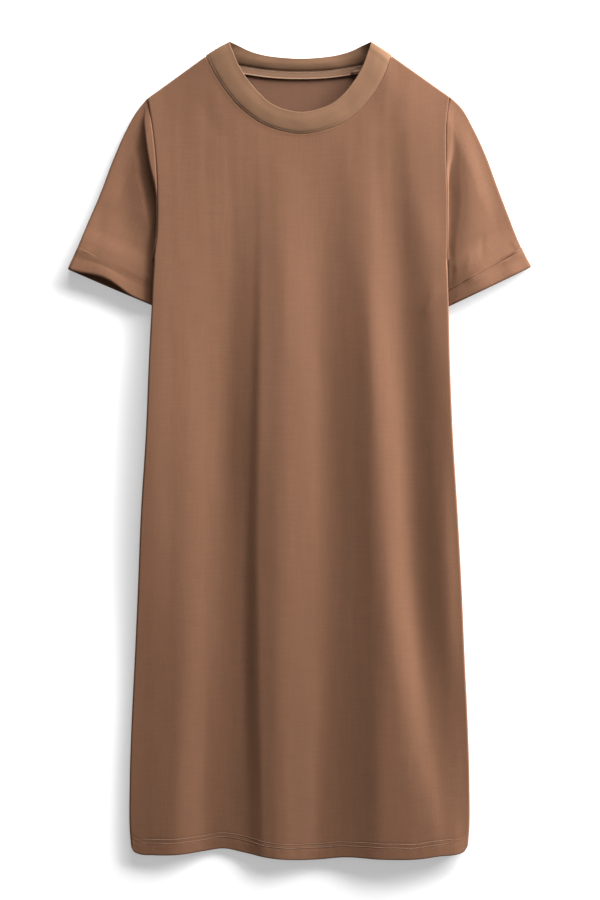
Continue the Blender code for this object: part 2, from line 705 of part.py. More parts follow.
def closed_curve(points, samples):
    """Cubic through a closed row of points; samples per span, chord spaced."""
    p = np.asarray(points, float)
    loop = np.vstack([p, p[:1]])
    chord = np.concatenate(([0.0], np.cumsum(np.linalg.norm(np.diff(loop, axis=0), axis=1))))
    span = chord[-1]
    t = np.concatenate([np.linspace(chord[i], chord[i + 1], samples, endpoint=False)
                        for i in range(len(p))])
    return np.column_stack([hermite(chord[:-1], p[:, c], t, span) for c in range(3)])


# Section of the doubled rib: share along its width, extra distance, distance out.
BAND_SECTION = (
    (0.0, 0.00, 0.00),
    (0.0, 0.36, 0.85),
    (0.0, 1.20, 1.20),
    (0.5, 0.00, 1.20),
    (1.0, -1.20, 1.20),
    (1.0, -0.36, 0.85),
    (1.0, 0.00, 0.00),
    (1.0, -0.36, -0.85),
    (1.0, -1.20, -1.20),
    (0.5, 0.00, -1.20),
    (0.0, 1.20, -1.20),
    (0.0, 0.36, -0.85),
)


def make_neckband(collection):
    seam_rows, edge_rows = band_rings()
    seam = closed_curve(seam_rows, 2)
    edge = closed_curve(edge_rows, 2)
    across = edge - seam
    width = np.linalg.norm(across, axis=1)[:, None]
    across = across / width
    mid = (seam + edge) / 2
    along = np.roll(mid, -1, axis=0) - np.roll(mid, 1, axis=0)
    normal = np.cross(along, across)
    normal /= np.linalg.norm(normal, axis=1)[:, None]
    half = RIB / 2 / 1.2
    rings = []
    for share, extra, out in BAND_SECTION:
        rings.append(seam + across * (width * share + extra) + normal * out * half)
    rings.append(rings[0])
    grid = np.array(rings)
    grid = np.concatenate([grid, grid[:, :1]], axis=1)
    bm = mapped_grid(grid, wrap_columns=True, wrap_rows=True)
    return new_object("neckband", bm, "rib", collection)


def make_tape(collection):
    """Flat tape over the back neck seam, inside the dress."""
    path = neck_seam(False)
    d = np.linspace(0.13, 0.87, 25) * path.length
    centre = path.at(d)
    tangent = np.gradient(centre, axis=0)
    down = np.column_stack([tangent[:, 1], -tangent[:, 0]])
    down /= np.hypot(down[:, 0], down[:, 1])[:, None]
    z = BACK_Z + STACK / 2 + GAP / 2 + TAPE / 2
    rows = []
    for out in (0.7, 0.7 + TAPE_WIDTH / 2, 0.7 + TAPE_WIDTH):
        xy = centre + down * out
        rows.append(np.column_stack([xy, np.full(len(xy), z)]))
    bm = mapped_grid(np.array(rows))
    return thicken(new_object("neck_tape", bm, "tape", collection), TAPE)


# ---------------------------------------------------------------- build
def clear_scene():
    for obj in list(bpy.data.objects):
        bpy.data.objects.remove(obj, do_unlink=True)


def main():
    clear_scene()
    dress = bpy.data.collections.new("t_shirt_dress")
    bpy.context.scene.collection.children.link(dress)
    body_panel("front_panel", True, 44, 0.0, dress)
    body_panel("back_panel", False, 24, 1.5, dress)
    for side in ("left", "right"):
        make_sleeve(side, dress)
        make_cuff(side, dress)
    make_neckband(dress)
    make_tape(dress)


main()
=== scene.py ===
"""T-shirt dress laid flat on its back: how its cloth, seams and stitches look.

Each cut piece is a thin shell on the form of its solid: front and back panels with a
turned-up hem, two short sleeves with turned-up cuffs, a doubled rib neckband, and the
tape over the back neck seam. A seam allowance's end and the stitches are pieces of their own.

Frame: +X is the wearer's left, +Y points to the neck, +Z is up from the table. Tables
and helper functions work in millimetres; meshes are made in metres.
"""

import math

import bmesh
import bpy
import mathutils
import numpy as np
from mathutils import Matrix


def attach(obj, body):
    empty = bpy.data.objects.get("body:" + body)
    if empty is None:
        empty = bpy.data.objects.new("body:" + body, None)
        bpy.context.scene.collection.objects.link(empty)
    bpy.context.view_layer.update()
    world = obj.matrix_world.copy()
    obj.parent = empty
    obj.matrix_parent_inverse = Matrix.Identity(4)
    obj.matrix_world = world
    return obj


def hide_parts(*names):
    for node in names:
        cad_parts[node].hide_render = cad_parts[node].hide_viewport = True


bl_info = {
    "name": "T-shirt dress",
    "version": (1, 0, 0),
    "blender": (4, 5, 0),
    "location": "View3D > Sidebar > Dress",
    "description": "Cloth pieces, seams and stitches of a t-shirt dress laid flat",
    "category": "Add Mesh",
}

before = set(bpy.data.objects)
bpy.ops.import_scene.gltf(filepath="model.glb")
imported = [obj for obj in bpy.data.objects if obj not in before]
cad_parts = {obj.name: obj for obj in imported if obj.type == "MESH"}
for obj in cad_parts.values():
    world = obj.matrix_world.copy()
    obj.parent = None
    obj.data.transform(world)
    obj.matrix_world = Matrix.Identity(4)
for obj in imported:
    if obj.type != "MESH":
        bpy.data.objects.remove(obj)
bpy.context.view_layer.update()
MM = 0.001
UV_NAME = "cloth"

# ---------------------------------------------------------------- form of the solids
ROLL = 4.5            # how far in from a fold edge the back turns over
FRONT_ROLL = 1.6      # the same for the front, which stands on it
BACK_Z = 0.7          # mid-surface height of cloth lying on the table
STACK = 1.7           # one more layer of cloth
PINCH = 1.5           # least spacing of a sleeve's two layers
OUTER_FACE = 0.7      # cloth outside the mid-surface at an outline
SEAM_GAP = 0.30       # mid-surface distance where two rolled edges meet

# Stations along the body (y), from the neck to the hem.
STATION_Y = (466, 400, 340, 280, 220, 150, 75, 0, -75, -150, -225, -300, -375, -440, -501)

# Fold lines of the front, from the wearer's right edge to the left edge: name, sharpness
# of its crest (0 round, 1 sharp), x at each station, height there of the mid-surface.
FOLDS = (
    ("edge_right", 0.3,
     (-166, -167, -168, -169, -171, -174, -178, -182, -186, -190, -194, -198, -202, -206, -210),
     (6.7, 8.7, 10.6, 12.1, 13.7, 14.9, 15.6, 15.1, 13.5, 11.4, 9, 7.4, 7.3, 7.2, 7)),
    ("lap_right", 0.3,
     (-160, -161, -159, -155, -152, -149, -146, -144, -143, -142, -142, -144, -147, -151, -155),
     (7.4, 8.8, 10.4, 11.8, 12.9, 13.3, 12.8, 11.8, 10.5, 9.6, 9.2, 8.8, 9, 9.4, 9.6)),
    ("flank_right", 0.6,
     (-119, -118, -118, -118, -118, -118, -118, -118, -117, -117, -116, -117, -117, -118, -119),
     (10.3, 10.1, 10.3, 10.7, 10.7, 10.1, 8.9, 7.7, 6.5, 5.7, 5.2, 4.6, 3.8, 3.7, 4.4)),
    ("valley_right", 0.1,
     (-73, -75, -77, -79, -82, -86, -89, -91, -92, -94, -96, -98, -100, -102, -105),
     (11.6, 10.7, 10, 9.3, 8.4, 7.1, 5.5, 3.7, 3.2, 3.2, 3.2, 3.2, 3.2, 3.2, 3.2)),
    ("kink_foot", 0.5,
     (-54, -55, -55, -56, -56, -57, -59, -62, -64, -66, -67, -67, -66, -65, -64),
     (10.9, 10.5, 10.1, 9.9, 9.8, 9.4, 8.4, 7, 5.6, 4.5, 4.1, 4.3, 4.7, 5.3, 5.9)),
    ("kink", 0.4,
     (-48, -49, -49, -49, -49, -49, -50, -51, -52, -52, -51, -50, -48, -46, -44),
     (10.5, 10.4, 10.3, 10.4, 10.8, 11.2, 11, 10.2, 9.4, 9.3, 9.6, 9.6, 9.8, 9.9, 10.1)),
    ("crest_mid", 0.1,
     (-29, -28, -26, -24, -22, -21, -22, -23, -25, -26, -27, -28, -28, -28, -27),
     (9.9, 10.2, 10.5, 11.2, 11.9, 11.9, 11.3, 11.1, 11.1, 11.1, 11.1, 11.1, 11.1, 11.1, 11.2)),
    ("flank_mid", 0.6,
     (12, 12, 12, 12, 12, 12, 12, 12, 12, 12, 11, 10, 8, 7, 5),
     (11.2, 10.4, 9.5, 9, 8.4, 8.1, 8, 7.9, 7.7, 7.5, 7.6, 8, 7.9, 8, 8.2)),
    ("valley_mid", 0.1,
     (34, 33, 32, 31, 30, 28, 29, 30, 32, 32, 31, 29, 27, 24, 22),
     (12.1, 10.7, 9.3, 8.1, 7.1, 6.2, 5.4, 5.3, 5.3, 5.5, 5.7, 5.6, 5.5, 5.8, 6.6)),
    ("crest_foot", 0.7,
     (55, 59, 62, 66, 70, 75, 79, 84, 88, 92, 94, 95, 95, 95, 94),
     (10.8, 10.5, 10.2, 10.1, 10.6, 11.3, 12, 13, 13.6, 14, 14.3, 14.6, 14.6, 14.2, 13.8)),
    ("crest_left", 0.2,
     (79, 80, 82, 83, 84, 86, 89, 94, 99, 105, 112, 120, 126, 130, 130),
     (11.3, 10.7, 10.3, 10.6, 11.5, 13, 13.8, 14.2, 14.4, 14.8, 15.5, 15.5, 15, 14.4, 14.6)),
    ("shelf_left", 0.7,
     (85, 86, 89, 94, 99, 105, 111, 116, 120, 124, 130, 138, 148, 161, 173),
     (11.4, 10.7, 9.9, 9.7, 9.7, 9.6, 10, 10.3, 10.5, 10.7, 11.2, 11.9, 12.3, 12.8, 13)),
    ("valley_left", 0,
     (104, 108, 111, 115, 120, 126, 130, 133, 136, 140, 147, 157, 169, 182, 195),
     (12.6, 10.7, 9.2, 8.1, 7.3, 7, 6.8, 6.8, 7, 6.8, 6.6, 7.5, 8.6, 9.9, 11.7)),
    ("lap_left", 0.2,
     (120, 130, 140, 150, 160, 167, 173, 176, 178, 181, 185, 190, 195, 200, 205),
     (11.3, 11.4, 11, 11.4, 11.7, 13.1, 13.8, 14.1, 14, 13, 11.2, 9.2, 8.4, 8.3, 8)),
    ("edge_left", 0.3,
     (171, 172, 172, 173, 175, 176, 179, 182, 186, 190, 194, 198, 202, 206, 211),
     (8.9, 10.2, 10.5, 10.5, 12.1, 13.5, 14.6, 14.7, 13.2, 11.5, 10.3, 9.4, 8, 7.4, 7)),
)

# Side folds from the underarm to the hem: y, x at the wearer's right, x at the left.
SIDES = (
    (230.4, -178.9, 180.2),
    (203, -180.3, 181.2),
    (176.5, -181.4, 182),
    (117.6, -184.6, 183.5),
    (19.6, -188.7, 187.3),
    (-78.4, -194.9, 193.3),
    (-166.7, -198.5, 198.1),
    (-254.9, -202.6, 201.9),
    (-333.3, -206.5, 205.6),
    (-411.8, -208.9, 207.9),
    (-468, -208.6, 207.4),
    (-484, -207.2, 206),
)

# Armhole seams from the underarm up to the shoulder: y right, x right, y left, x left.
ARMHOLES = (
    (230.4, -178.9, 230.4, 180.2),
    (263.5, -174.6, 263.5, 180.2),
    (306.4, -174, 306.4, 180.2),
    (343.1, -175.2, 367.7, 178.3),
    (392.2, -180.1, 398.3, 178.6),
    (430.1, -186.3, 432, 182.6),
)

# Hem edge: x, y.
HEM = (
    (-206.6, -484), (-203, -491.5), (-196, -494.5), (-180, -495.5), (-147, -495), (-117, -491),
    (-93, -488), (-69, -492.5), (-40, -498.5), (-10, -501.2), (20, -501), (55, -498),
    (100, -500), (145, -499.5), (172, -496), (190, -494.5), (200, -491.5), (205.2, -484),
)

# Neckband, row by row from the centre front over the shoulder to the centre back.
# row, seam: y, x right, x left, share of the front's height; free edge: y, x right,
# x left, z.
NECKBAND = (
    ("front_centre", 386, 1.2, 1.2, 1, 412.5, 1.2, 1.2, 12.6),
    ("front_1", 389.7, -22.9, 25.9, 1, 415.9, -18.9, 21.9, 12.6),
    ("front_2", 398.2, -46.4, 49.8, 1, 423.8, -36.8, 40.3, 12.7),
    ("front_3", 409.7, -63.8, 66.8, 1, 435.7, -49.8, 54.3, 12.9),
    ("front_4", 423.8, -79.4, 80.7, 1, 448.6, -61.2, 64.7, 13.1),
    ("front_5", 438.1, -90.7, 91.7, 1, 460, -69.2, 72.2, 13.3),
    ("front_6", 453, -100.7, 100.5, 1, 472.4, -76.2, 78.2, 13.4),
    ("front_7", 467.9, -109.1, 106.5, 1, 486.3, -81.9, 83.1, 13.2),
    ("front_8", 477, -113.2, 109.9, 0.96, 494.4, -85, 85.9, 13),
    ("shoulder", 481.4, -115, 112.3, 0.78, 498.3, -85.6, 86.3, 12.3),
    ("back_8", 479.6, -110.5, 107, 0.4, 497.4, -82.4, 83.8, 10.4),
    ("back_7", 477.2, -103, 100, 0.08, 494.8, -75.9, 76.9, 7.8),
    ("back_6", 473, -85, 83, 0, 488.3, -61.9, 62.9, 6),
    ("back_5", 468.9, -62, 62, 0, 483.8, -46.4, 47.9, 5.3),
    ("back_3", 465, -33, 34, 0, 480.6, -25, 27, 5.2),
    ("back_centre", 463.7, 1, 1, 0, 479.2, 1, 1, 5.2),
)
BAND_BACK_Z = 1.4     # mid-surface height of the band at the back neck seam
TAPE_FROM = -0.5      # top edge of the neck tape below the seam
BAND_CROWN = 0.7      # how far the back of the band arches up between its edges
# Rows of the band's section and of the tape, as shares of their widths.
BAND_SHARES = (0.05, 0.09, 0.1, 0.107, 0.114, 0.121, 0.13, 0.145, 0.2, 0.3, 0.42, 0.54, 0.66,
               0.78, 0.86, 0.93)
TAPE_SHARES = (0.0, 0.06, 0.12, 0.18, 0.3, 0.5, 0.7, 0.8, 0.86, 0.92, 0.97, 1.0)

# Outer folds of the sleeves, shoulder to cuff: x right, y right, x left, y left.
SLEEVE_FOLDS = (
    (-186.3, 429.6, 182.6, 431.4),
    (-199.8, 413.6, 196.6, 419.3),
    (-213.9, 388, 211.6, 393.8),
    (-228.3, 355, 226.6, 362),
    (-243.6, 314.6, 241.2, 322.8),
    (-259, 278, 255.7, 285),
    (-273, 243.6, 269.2, 250.5),
    (-280.9, 224.6, 280.4, 227),
)
SLEEVE_INNER_END = {"right": (-160.5, 172), "left": (162.7, 169.8)}  # mouth corner

# Upper layer of each sleeve beside its armhole: y, then (distance out from the seam,
# height) pairs. The first height is the body's, taken where the sleeve is sewn in.
SLEEVE_PROFILE = {
    "right": (
        (415, (4.5, 8.3), (6.5, 7), (12, 6.4), (24, 6.3), (30, 6.2), (38, 6.2)),
        (405, (7.5, 8.8), (9.5, 6.9), (14, 6.1), (24, 6), (31, 6), (40, 6.1)),
        (385, (9, 9.3), (11, 6.3), (15.5, 5.1), (28, 5.3), (35, 5.4), (46, 5.8)),
        (362, (8.6, 9.9), (10.6, 5.2), (14.5, 3.9), (28, 4.8), (38, 4.9), (54, 5.4)),
        (347, (7.2, 10.3), (9.2, 4.2), (14, 3.5), (27, 4.9), (38, 4.8), (56, 5.4)),
        (333, (4.6, 10.7), (6.6, 3.6), (13, 3.3), (26.5, 5), (39, 4.7), (58, 5.4)),
        (320, (1.8, 10.9), (3.8, 3.1), (10, 3.2), (23, 5.3), (38, 4.8), (59, 5.6)),
        (306, (0.5, 10.9), (2.2, 2.8), (8.5, 3.3), (20, 5.5), (37, 5), (60, 6)),
        (290, (0.4, 10.8), (1.9, 3), (6.6, 3.8), (16.5, 6.1), (36, 5.4), (61, 6.4)),
        (275, (0.3, 10.8), (1.8, 3.2), (5.4, 4.4), (12.5, 6.6), (36, 5.8), (62, 6.9)),
        (248, (0.4, 11), (2.2, 4), (6.5, 5.2), (14, 6.7), (36, 6.6), (62, 7.4)),
        (228, (1.4, 5), (4.5, 5.4), (9, 6.1), (16, 6.8), (38, 7), (64, 7.6)),
        (205, (1.4, 4.8), (4.5, 5.4), (9, 6.1), (17, 6.9), (38, 7.1), (64, 7.6)),
        (165, (1.4, 4.8), (4.5, 5.4), (9, 6.1), (17, 6.9), (38, 7.1), (64, 7.6)),
    ),
    "left": (
        (410, (4, 9.6), (9, 9.2), (15, 9.2), (24, 9.1), (40, 8.4)),
        (385, (5, 9.8), (10, 9.1), (16, 9.1), (25, 9.2), (46, 7.6)),
        (362, (4, 9.6), (9, 8.2), (18, 9), (26, 9.3), (54, 6.8)),
        (337, (0.8, 8.8), (2.8, 6.8), (17, 8.6), (26, 9.2), (58, 6.5)),
        (306, (0.3, 7.4), (1.5, 5.7), (18, 8.4), (27, 9), (60, 6)),
        (275, (0.3, 6.9), (1.5, 5.6), (14, 7.9), (25, 8.7), (62, 5.2)),
        (250, (0.3, 6.4), (1.5, 5.6), (11, 7.7), (23, 8.4), (66, 5)),
        (228, (1, 5.6), (3, 5.8), (11, 7.5), (28, 8.4), (66, 5.6)),
        (205, (1.4, 5.2), (4, 5.6), (13, 7.3), (36, 8.6), (68, 5.8)),
        (165, (1.4, 5.2), (4, 5.6), (13, 7.3), (36, 8.6), (68, 5.8)),
    ),
}
FOLD_DIVE = 7.0       # the inner fold runs beside the body this far before going under it
SLEEVE_TUCKED_Z = 4.4  # upper layer where it lies under the body
# Upper layer near the outer fold: y, height.
SLEEVE_EDGE_Z = {
    "right": ((165, 8.2), (250, 8.3), (276, 8.4), (306, 7.8), (340, 6.9), (380, 6.5),
              (430, 6.4)),
    "left": ((165, 3.6), (250, 3.6), (300, 4.4), (340, 5.6), (390, 6.8), (430, 7.6)),
}
SLEEVE_ROLL = 0.9     # turn of the pressed outer fold
SLEEVE_ROLL_IN = 1.3  # turn of the fold pressed under the body
MOUTH_ARCH = {"right": 7.2, "left": 0.0}   # how far the mouth's top edge arches back, in plan
MOUTH_LIFT = {"right": (4.6, 90.0), "left": (4.2, 60.0)}   # how far it stands up, and reach

# Cuffs: turned-up depth at the outer fold and at the inner fold.
CUFF_DEPTH = {"right": (25.5, 24.5), "left": (22.7, 21.3)}
CUFF_EDGE = {"right": 0.0, "left": 0.35}      # how far a cuff's free edge stands off
CUFF_SETTLE = {"right": 0.8, "left": 0.2}     # how far the sleeve is pressed down under it
# Places where the free edge stands off further: share of the mouth from the outer fold,
# half width of the lifted stretch, lift.
CUFF_LIFTS = {
    "left": ((0.07, 0.07, 1.9), (0.18, 0.08, 0.9), (0.55, 0.06, 0.8)),
    "right": ((0.08, 0.1, 0.35), (0.84, 0.05, 0.5)),
}
# Section of a cuff: distance past the sleeve's end as a share of its depth, distance in
# mm out from the sleeve's mid-surface. The last rows turn over the sleeve's raw end.
CUFF_SECTION = (
    (-1, 0.26), (-1, 0.36), (-0.985, 0.42), (-0.93, 0.53), (-0.8, 0.66), (-0.5, 1), (0.06, 1.6),
    (0.135, 1.45), (0.175, 0.9), (0.175, 0), (0.15, -0.7), (0.018, -0.7), (0.018, 0.78),
    (-0.3, 0.72), (-0.64, 0.52),
)

# Lift of the back panel over the sleeve tucked beneath it: distance below the
# underarm, lift.
TUCK_LIFT = (
    (-34, 0), (-14, 0.9), (0, 2.8), (6, 4.6), (13, 7.1), (19, 8.1), (71, 8.1), (92, 4),
    (116, 0),
)
FOLD_SPREAD = 7.0     # the folds of the front are softened over this distance
TUCK_MARGIN = 4.5     # the lift stays full this far past the sleeve's fold
TUCK_FADE = 34.0      # and dies out over this distance

# Share of a sleeve's outer fold and distance on its inner side for each ring: above
# the underarm the distance runs down the armhole, below it is a share of the fold.
RINGS_ARM = (
    (0, 11), (0.03, 22), (0.08, 40), (0.145, 65), (0.23, 95), (0.32, 125), (0.41, 152),
    (0.49, 172), (0.555, 186), (0.61, 194), (0.655, 198.5),
)
RINGS_UNDERARM = 0.695
RINGS_FOLD = (
    (0.712, 0.05), (0.74, 0.13), (0.785, 0.3), (0.85, 0.5), (0.925, 0.75), (1, 1),
)

# ---------------------------------------------------------------- finer form
# Soft creases of the front: x and y of both ends, sideways bow at the middle, half
# width, height of the ridge (a trough is below zero).
FRONT_CREASES = (
    (-120, 438, -96, 372, 3, 10, -0.3),
    (117, 438, 96, 380, -3, 9, -0.3),
)
# The same for the back, which lies on the table and only rises from it.
BACK_CREASES = (
    (-110, 330, -100, -40, 6, 8, 1.3),
    (-30, 60, -44, -420, 5, 9, 1.6),
    (64, 250, 72, -180, -6, 8, 1.2),
    (132, -60, 150, -440, 4, 9, 1.5),
    (-150, -90, -160, -400, 4, 7, 1.1),
    (10, 400, 4, 190, 3, 10, 0.9),
)
# Creases of the sleeves' upper layers.
SLEEVE_CREASES = {
    "right": (
        (-206, 372, -190, 292, -3, 5, 0.25),
        (-238, 310, -246, 250, 2, 8, -0.25),
        (-268.5, 247.5, -249, 241.6, 0.4, 1.3, 0.35),
        (-267, 243.6, -252, 239, 0, 1.1, 0.25),
        (-189, 216, -181, 206, 0, 1.6, 0.5),
        (-186, 211, -180, 203, 0, 1.4, 0.4),
    ),
    "left": (
        (225, 268, 222, 226, 1, 4, -0.45),
        (209, 245, 204, 210, 1, 4, 0.35),
        (258.5, 258, 265.5, 243.5, 0, 1.7, 0.5),
        (189, 227, 184.6, 208, 0, 2, -0.5),
        (242.5, 228.6, 269, 244.4, 0.4, 1.3, -0.9),
    ),
}
# Slow unevenness of lying cloth: height, wavelength across, wavelength along, phase.
CLOTH_WAVES = (
    (0.05, 26, 330, 0.4),
    (0.025, 15, 190, 2.1),
    (0.05, 41, 96, 4),
    (0.012, 9.5, 130, 1),
    (0.03, 70, 31, 5.2),
)

SEAM_SINK = (0.45, 0.75)         # depth and half width of the dip into a seam
NECK_SINK = (0.35, 0.5)          # the same at the neck seam
STITCH_SINK = (0.18, 0.70)       # the same under a row of stitches
NECK_RISE = (0.16, 5.0)          # height and reach of the body's rise over the seam allowance
RIM_STEP = 0.17                  # drop of the band's sewn rim, on the wearer's right
HEM_LAYER = 1.15                 # spacing of the two layers of the turned-up hem
HEM_PUCKER = 0.16                # height of the puckers between hem and stitches

# Steps in from a fold or seam edge where the cloth curves most, in mm.
EDGE_STEPS = np.array([0.0, 0.12, 0.35, 0.7, 1.15, 1.7, 2.4, 3.3, 4.5])
SHOULDER_SHARE = 0.17            # share of the columns on each shoulder
FINE_EDGE = (
    0, 0.12, 0.35, 0.7, 1.1, 1.5, 1.9, 2.3, 2.7, 3.1, 3.6, 4.3, 5.2, 6.6, 8.4, 10.6, 13.2, 16.2,
)
HEM_STEPS = (
    0, 1, 2, 3.2, 4.6, 6.2, 8, 10, 12, 13.6, 14.8, 15.8, 16.6, 17.4, 18.4, 19.6, 21.2, 23.4, 26,
)

# ---------------------------------------------------------------- fineness and fit
# Columns of each panel's grid, and the spacing of its rows.
PANEL_GRID = {"back_panel": (96, 4.6), "front_panel": (142, 3.2)}
SLEEVE_RINGS = 92     # rings along a sleeve
LAYER_POINTS = 46     # points across each layer of a ring, between its folds
CUFF_ROWS = 44        # rows round the section of a cuff
BAND_SAMPLES = 9      # points between two rows of the neckband
RIM_SAMPLES = 40      # the same for the stitches on its rim
TAPE_COLUMNS = 90
LINE_POINTS = 600     # points of a stitch line along the hem
TAPE_POINTS = 300     # points of a stitch line along the tape

NECK_TRIM = {"front": 0.18, "back": -1.1}   # how far a panel reaches past the band's seam
BACK_HEM_IN = 1.5     # how much shorter the back hangs at the hem
HEM_EASE = 60.0       # the panels are shortened at the hem over this distance
FRONT_CLEAR = 0.3     # the front lies at least this far over the back
FRONT_SOFT = 0.5      # softness of the change to that least height, in square mm
KINK_REACH = 16.0     # the folds keep their crispness this far from the kink
SLEEVE_CLEAR = 0.25   # the sleeve's edge keeps this far outside the armhole seam
# Draw of the cloth into a side or shoulder seam: pull, height it acts over, distance
# from the seam where it ends, and how gradually it does.
SEAM_PULL, PULL_HEIGHT, PULL_END, PULL_FADE = 0.5, 0.8, 6.0, 3.0
TAPE_SPAN = (0.13, 0.87)       # part of the back neck seam that the tape covers
TAPE_ROWS_SPAN = (0.14, 0.86)  # the same for the stitches on it
TAPE_UPPER_ROW = 1.6           # upper row of stitches, below the seam
TAPE_LOWER_ROW = 0.86          # lower row, as a share of the tape's width
TAPE_OVER = 0.65               # rise of the tape beyond half a layer over the back
RIM_ROW = 0.085                # stitches on the band's rim, as a share of its width

# Stage, in metres: the lights' azimuth from +X, height over the table, distance, width
# and depth, and the point that they face.
TABLE_SIZE = 12.0
SENSOR_WIDTH = 36.0   # of the camera, in millimetres
WHITE = (1.0, 1.0, 1.0, 1.0)
LIT_POINT = (0.0, 0.1, 0.0)
KEY_LIGHT = (math.radians(41.0), math.radians(12.5), 2.7, 2.6, 1.0)
TOP_LIGHT = (math.radians(76.0), math.radians(20.0), 3.0, 2.5, 1.2)


# ---------------------------------------------------------------- curve helpers
def smooth(t):
    """Ease from 0 to 1."""
    t = np.clip(t, 0.0, 1.0)
    return t * t * (3.0 - 2.0 * t)


def ease_between(t, start, end, start_rise, end_rise):
    """Cubic from start to end, with its rise over the whole span at both ends."""
    return ((1 + 2 * t) * (1 - t) ** 2 * start + t * (1 - t) ** 2 * start_rise
            + t * t * (3 - 2 * t) * end + t * t * (t - 1) * end_rise)


def bump(t):
    """Soft bell, 1 at the middle and near 0 past 2."""
    return np.exp(-np.square(t))


def unit(vectors):
    """The same vectors at length 1."""
    return vectors / np.linalg.norm(vectors, axis=-1, keepdims=True)


def run_along(points):
    """Distance run along a row of points, at each of them."""
    return np.concatenate([[0.0], np.cumsum(np.linalg.norm(np.diff(points, axis=0), axis=1))])


def read_along(values, run, distance):
    """Row of values at a distance run."""
    return np.stack([np.interp(distance, run, v) for v in values.T], axis=-1)


def hermite(knots, values, t, closed_span=None):
    """Cubic through (knots, values) at t; a closed curve repeats after closed_span."""
    k = np.asarray(knots, float)
    v = np.asarray(values, float)
    if closed_span is not None:
        k = np.concatenate([k[-2:] - closed_span, k, k[:2] + closed_span])
        v = np.concatenate([v[-2:], v, v[:2]])
    t = np.clip(np.asarray(t, float), k[0], k[-1])
    slope = np.gradient(v, k)
    i = np.clip(np.searchsorted(k, t, side="right") - 1, 0, len(k) - 2)
    h = k[i + 1] - k[i]
    return ease_between((t - k[i]) / h, v[i], v[i + 1], h * slope[i], h * slope[i + 1])


class Path:
    """A plane line, read by the distance run along it."""

    def __init__(self, xy, run=None):
        self.xy = xy
        self.run = run_along(xy) if run is None else run
        self.length = self.run[-1]

    def at(self, distance):
        return read_along(self.xy, self.run, np.clip(distance, 0.0, self.length))

    def moved(self, amount):
        """A copy moved to the right of the way it runs."""
        ahead = np.gradient(self.xy, axis=0)
        return Path(self.xy + amount * unit(np.column_stack([ahead[:, 1], -ahead[:, 0]])))


def curve(points, samples=400):
    """Path along a cubic through points."""
    p = np.asarray(points, float)
    run = run_along(p)
    t = np.linspace(0.0, run[-1], samples)
    return Path(np.column_stack([hermite(run, values, t) for values in p.T]))


def distance_to(points, line, reach=60.0):
    """Least distance from each point to a polyline, up to reach."""
    p = np.asarray(points, float)
    flat = p.reshape(-1, 2)
    out = np.full(len(flat), float(reach))
    low = line.min(0) - reach
    high = line.max(0) + reach
    near = np.flatnonzero(((flat >= low) & (flat <= high)).all(1))
    a = line[:-1]
    ab = line[1:] - a
    size = (ab * ab).sum(-1)
    for start in range(0, len(near), 4000):
        part = near[start : start + 4000]
        q = flat[part][:, None, :] - a
        t = np.clip((q * ab).sum(-1) / size, 0.0, 1.0)
        gap = q - t[..., None] * ab
        out[part] = np.minimum(reach, np.sqrt((gap * gap).sum(-1)).min(-1))
    return out.reshape(p.shape[:-1])


def turn(distance, width):
    """Share of full height at a distance in from a rolled edge: a quarter turn."""
    t = 1.0 - np.clip(distance / width, 0.0, 1.0)
    return np.sqrt(np.clip(1.0 - t * t, 0.0, 1.0))


def creases(x, y, rows, strength):
    """Summed height of soft creases, each along its own line and fading at both ends."""
    total = np.zeros_like(x)
    for x0, y0, x1, y1, bow, half, height in rows:
        length = math.hypot(x1 - x0, y1 - y0)
        ux, uy = (x1 - x0) / length, (y1 - y0) / length
        t = ((x - x0) * ux + (y - y0) * uy) / length
        off = (x - x0) * uy - (y - y0) * ux - bow * (1.0 - (2.0 * t - 1.0) ** 2)
        fade = smooth(t / 0.35) * smooth((1.0 - t) / 0.45)
        total = total + strength * height * fade * bump(off / half)
    return total


def unevenness(x, y, seed):
    """Slow waves of cloth that was smoothed flat by hand."""
    total = np.zeros_like(x)
    full = 2 * math.pi
    for i, (height, across, along, phase) in enumerate(CLOTH_WAVES):
        shift = phase + seed * (1.3 + i)
        bend = 0.8 * np.sin(full * y / along + shift)
        swell = 0.6 + 0.4 * np.sin(full * (y / (1.7 * along) + x / 230.0) + 2.0 * shift)
        total = total + height * swell * np.sin(full * x / across + bend + shift)
    return total


def dip(distance, size):
    """Dip of the cloth into sewing; size is its depth and half width."""
    return -size[0] * bump(distance / size[1])


def neck_dip(distance, x):
    """Dip into the neck seam and rise over its allowance."""
    rise, reach = NECK_RISE
    return (rise * (1.0 - smooth(distance / reach))
            + (0.25 + 0.75 * smooth(x / 60.0)) * dip(distance, NECK_SINK))


# ---------------------------------------------------------------- outlines
SIDE_SIGN = {"right": -1.0, "left": 1.0}


def side_path(side):
    """Side fold, underarm to hem, moved in by half the cloth."""
    col = 1 if side == "right" else 2
    return curve([(row[col] - SIDE_SIGN[side] * OUTER_FACE, row[0]) for row in SIDES])


def armhole_path(side):
    """Armhole seam, underarm to shoulder."""
    col = 1 if side == "right" else 3
    rows = [[row[col], row[col - 1]] for row in ARMHOLES]
    rows[0][0] -= SIDE_SIGN[side] * OUTER_FACE
    return curve(rows)


def shoulder_line(side):
    """Shoulder fold from the armhole to the neck."""
    row = next(r for r in NECKBAND if r[0] == "shoulder")
    return np.array([armhole_path(side).xy[-1], (row[2 if side == "right" else 3], row[1])])


SIDE = {s: side_path(s) for s in SIDE_SIGN}
ARMHOLE = {s: armhole_path(s) for s in SIDE_SIGN}
SHOULDER = {s: shoulder_line(s) for s in SIDE_SIGN}
UNDERARM = {s: ARMHOLE[s].xy[0] for s in SIDE_SIGN}


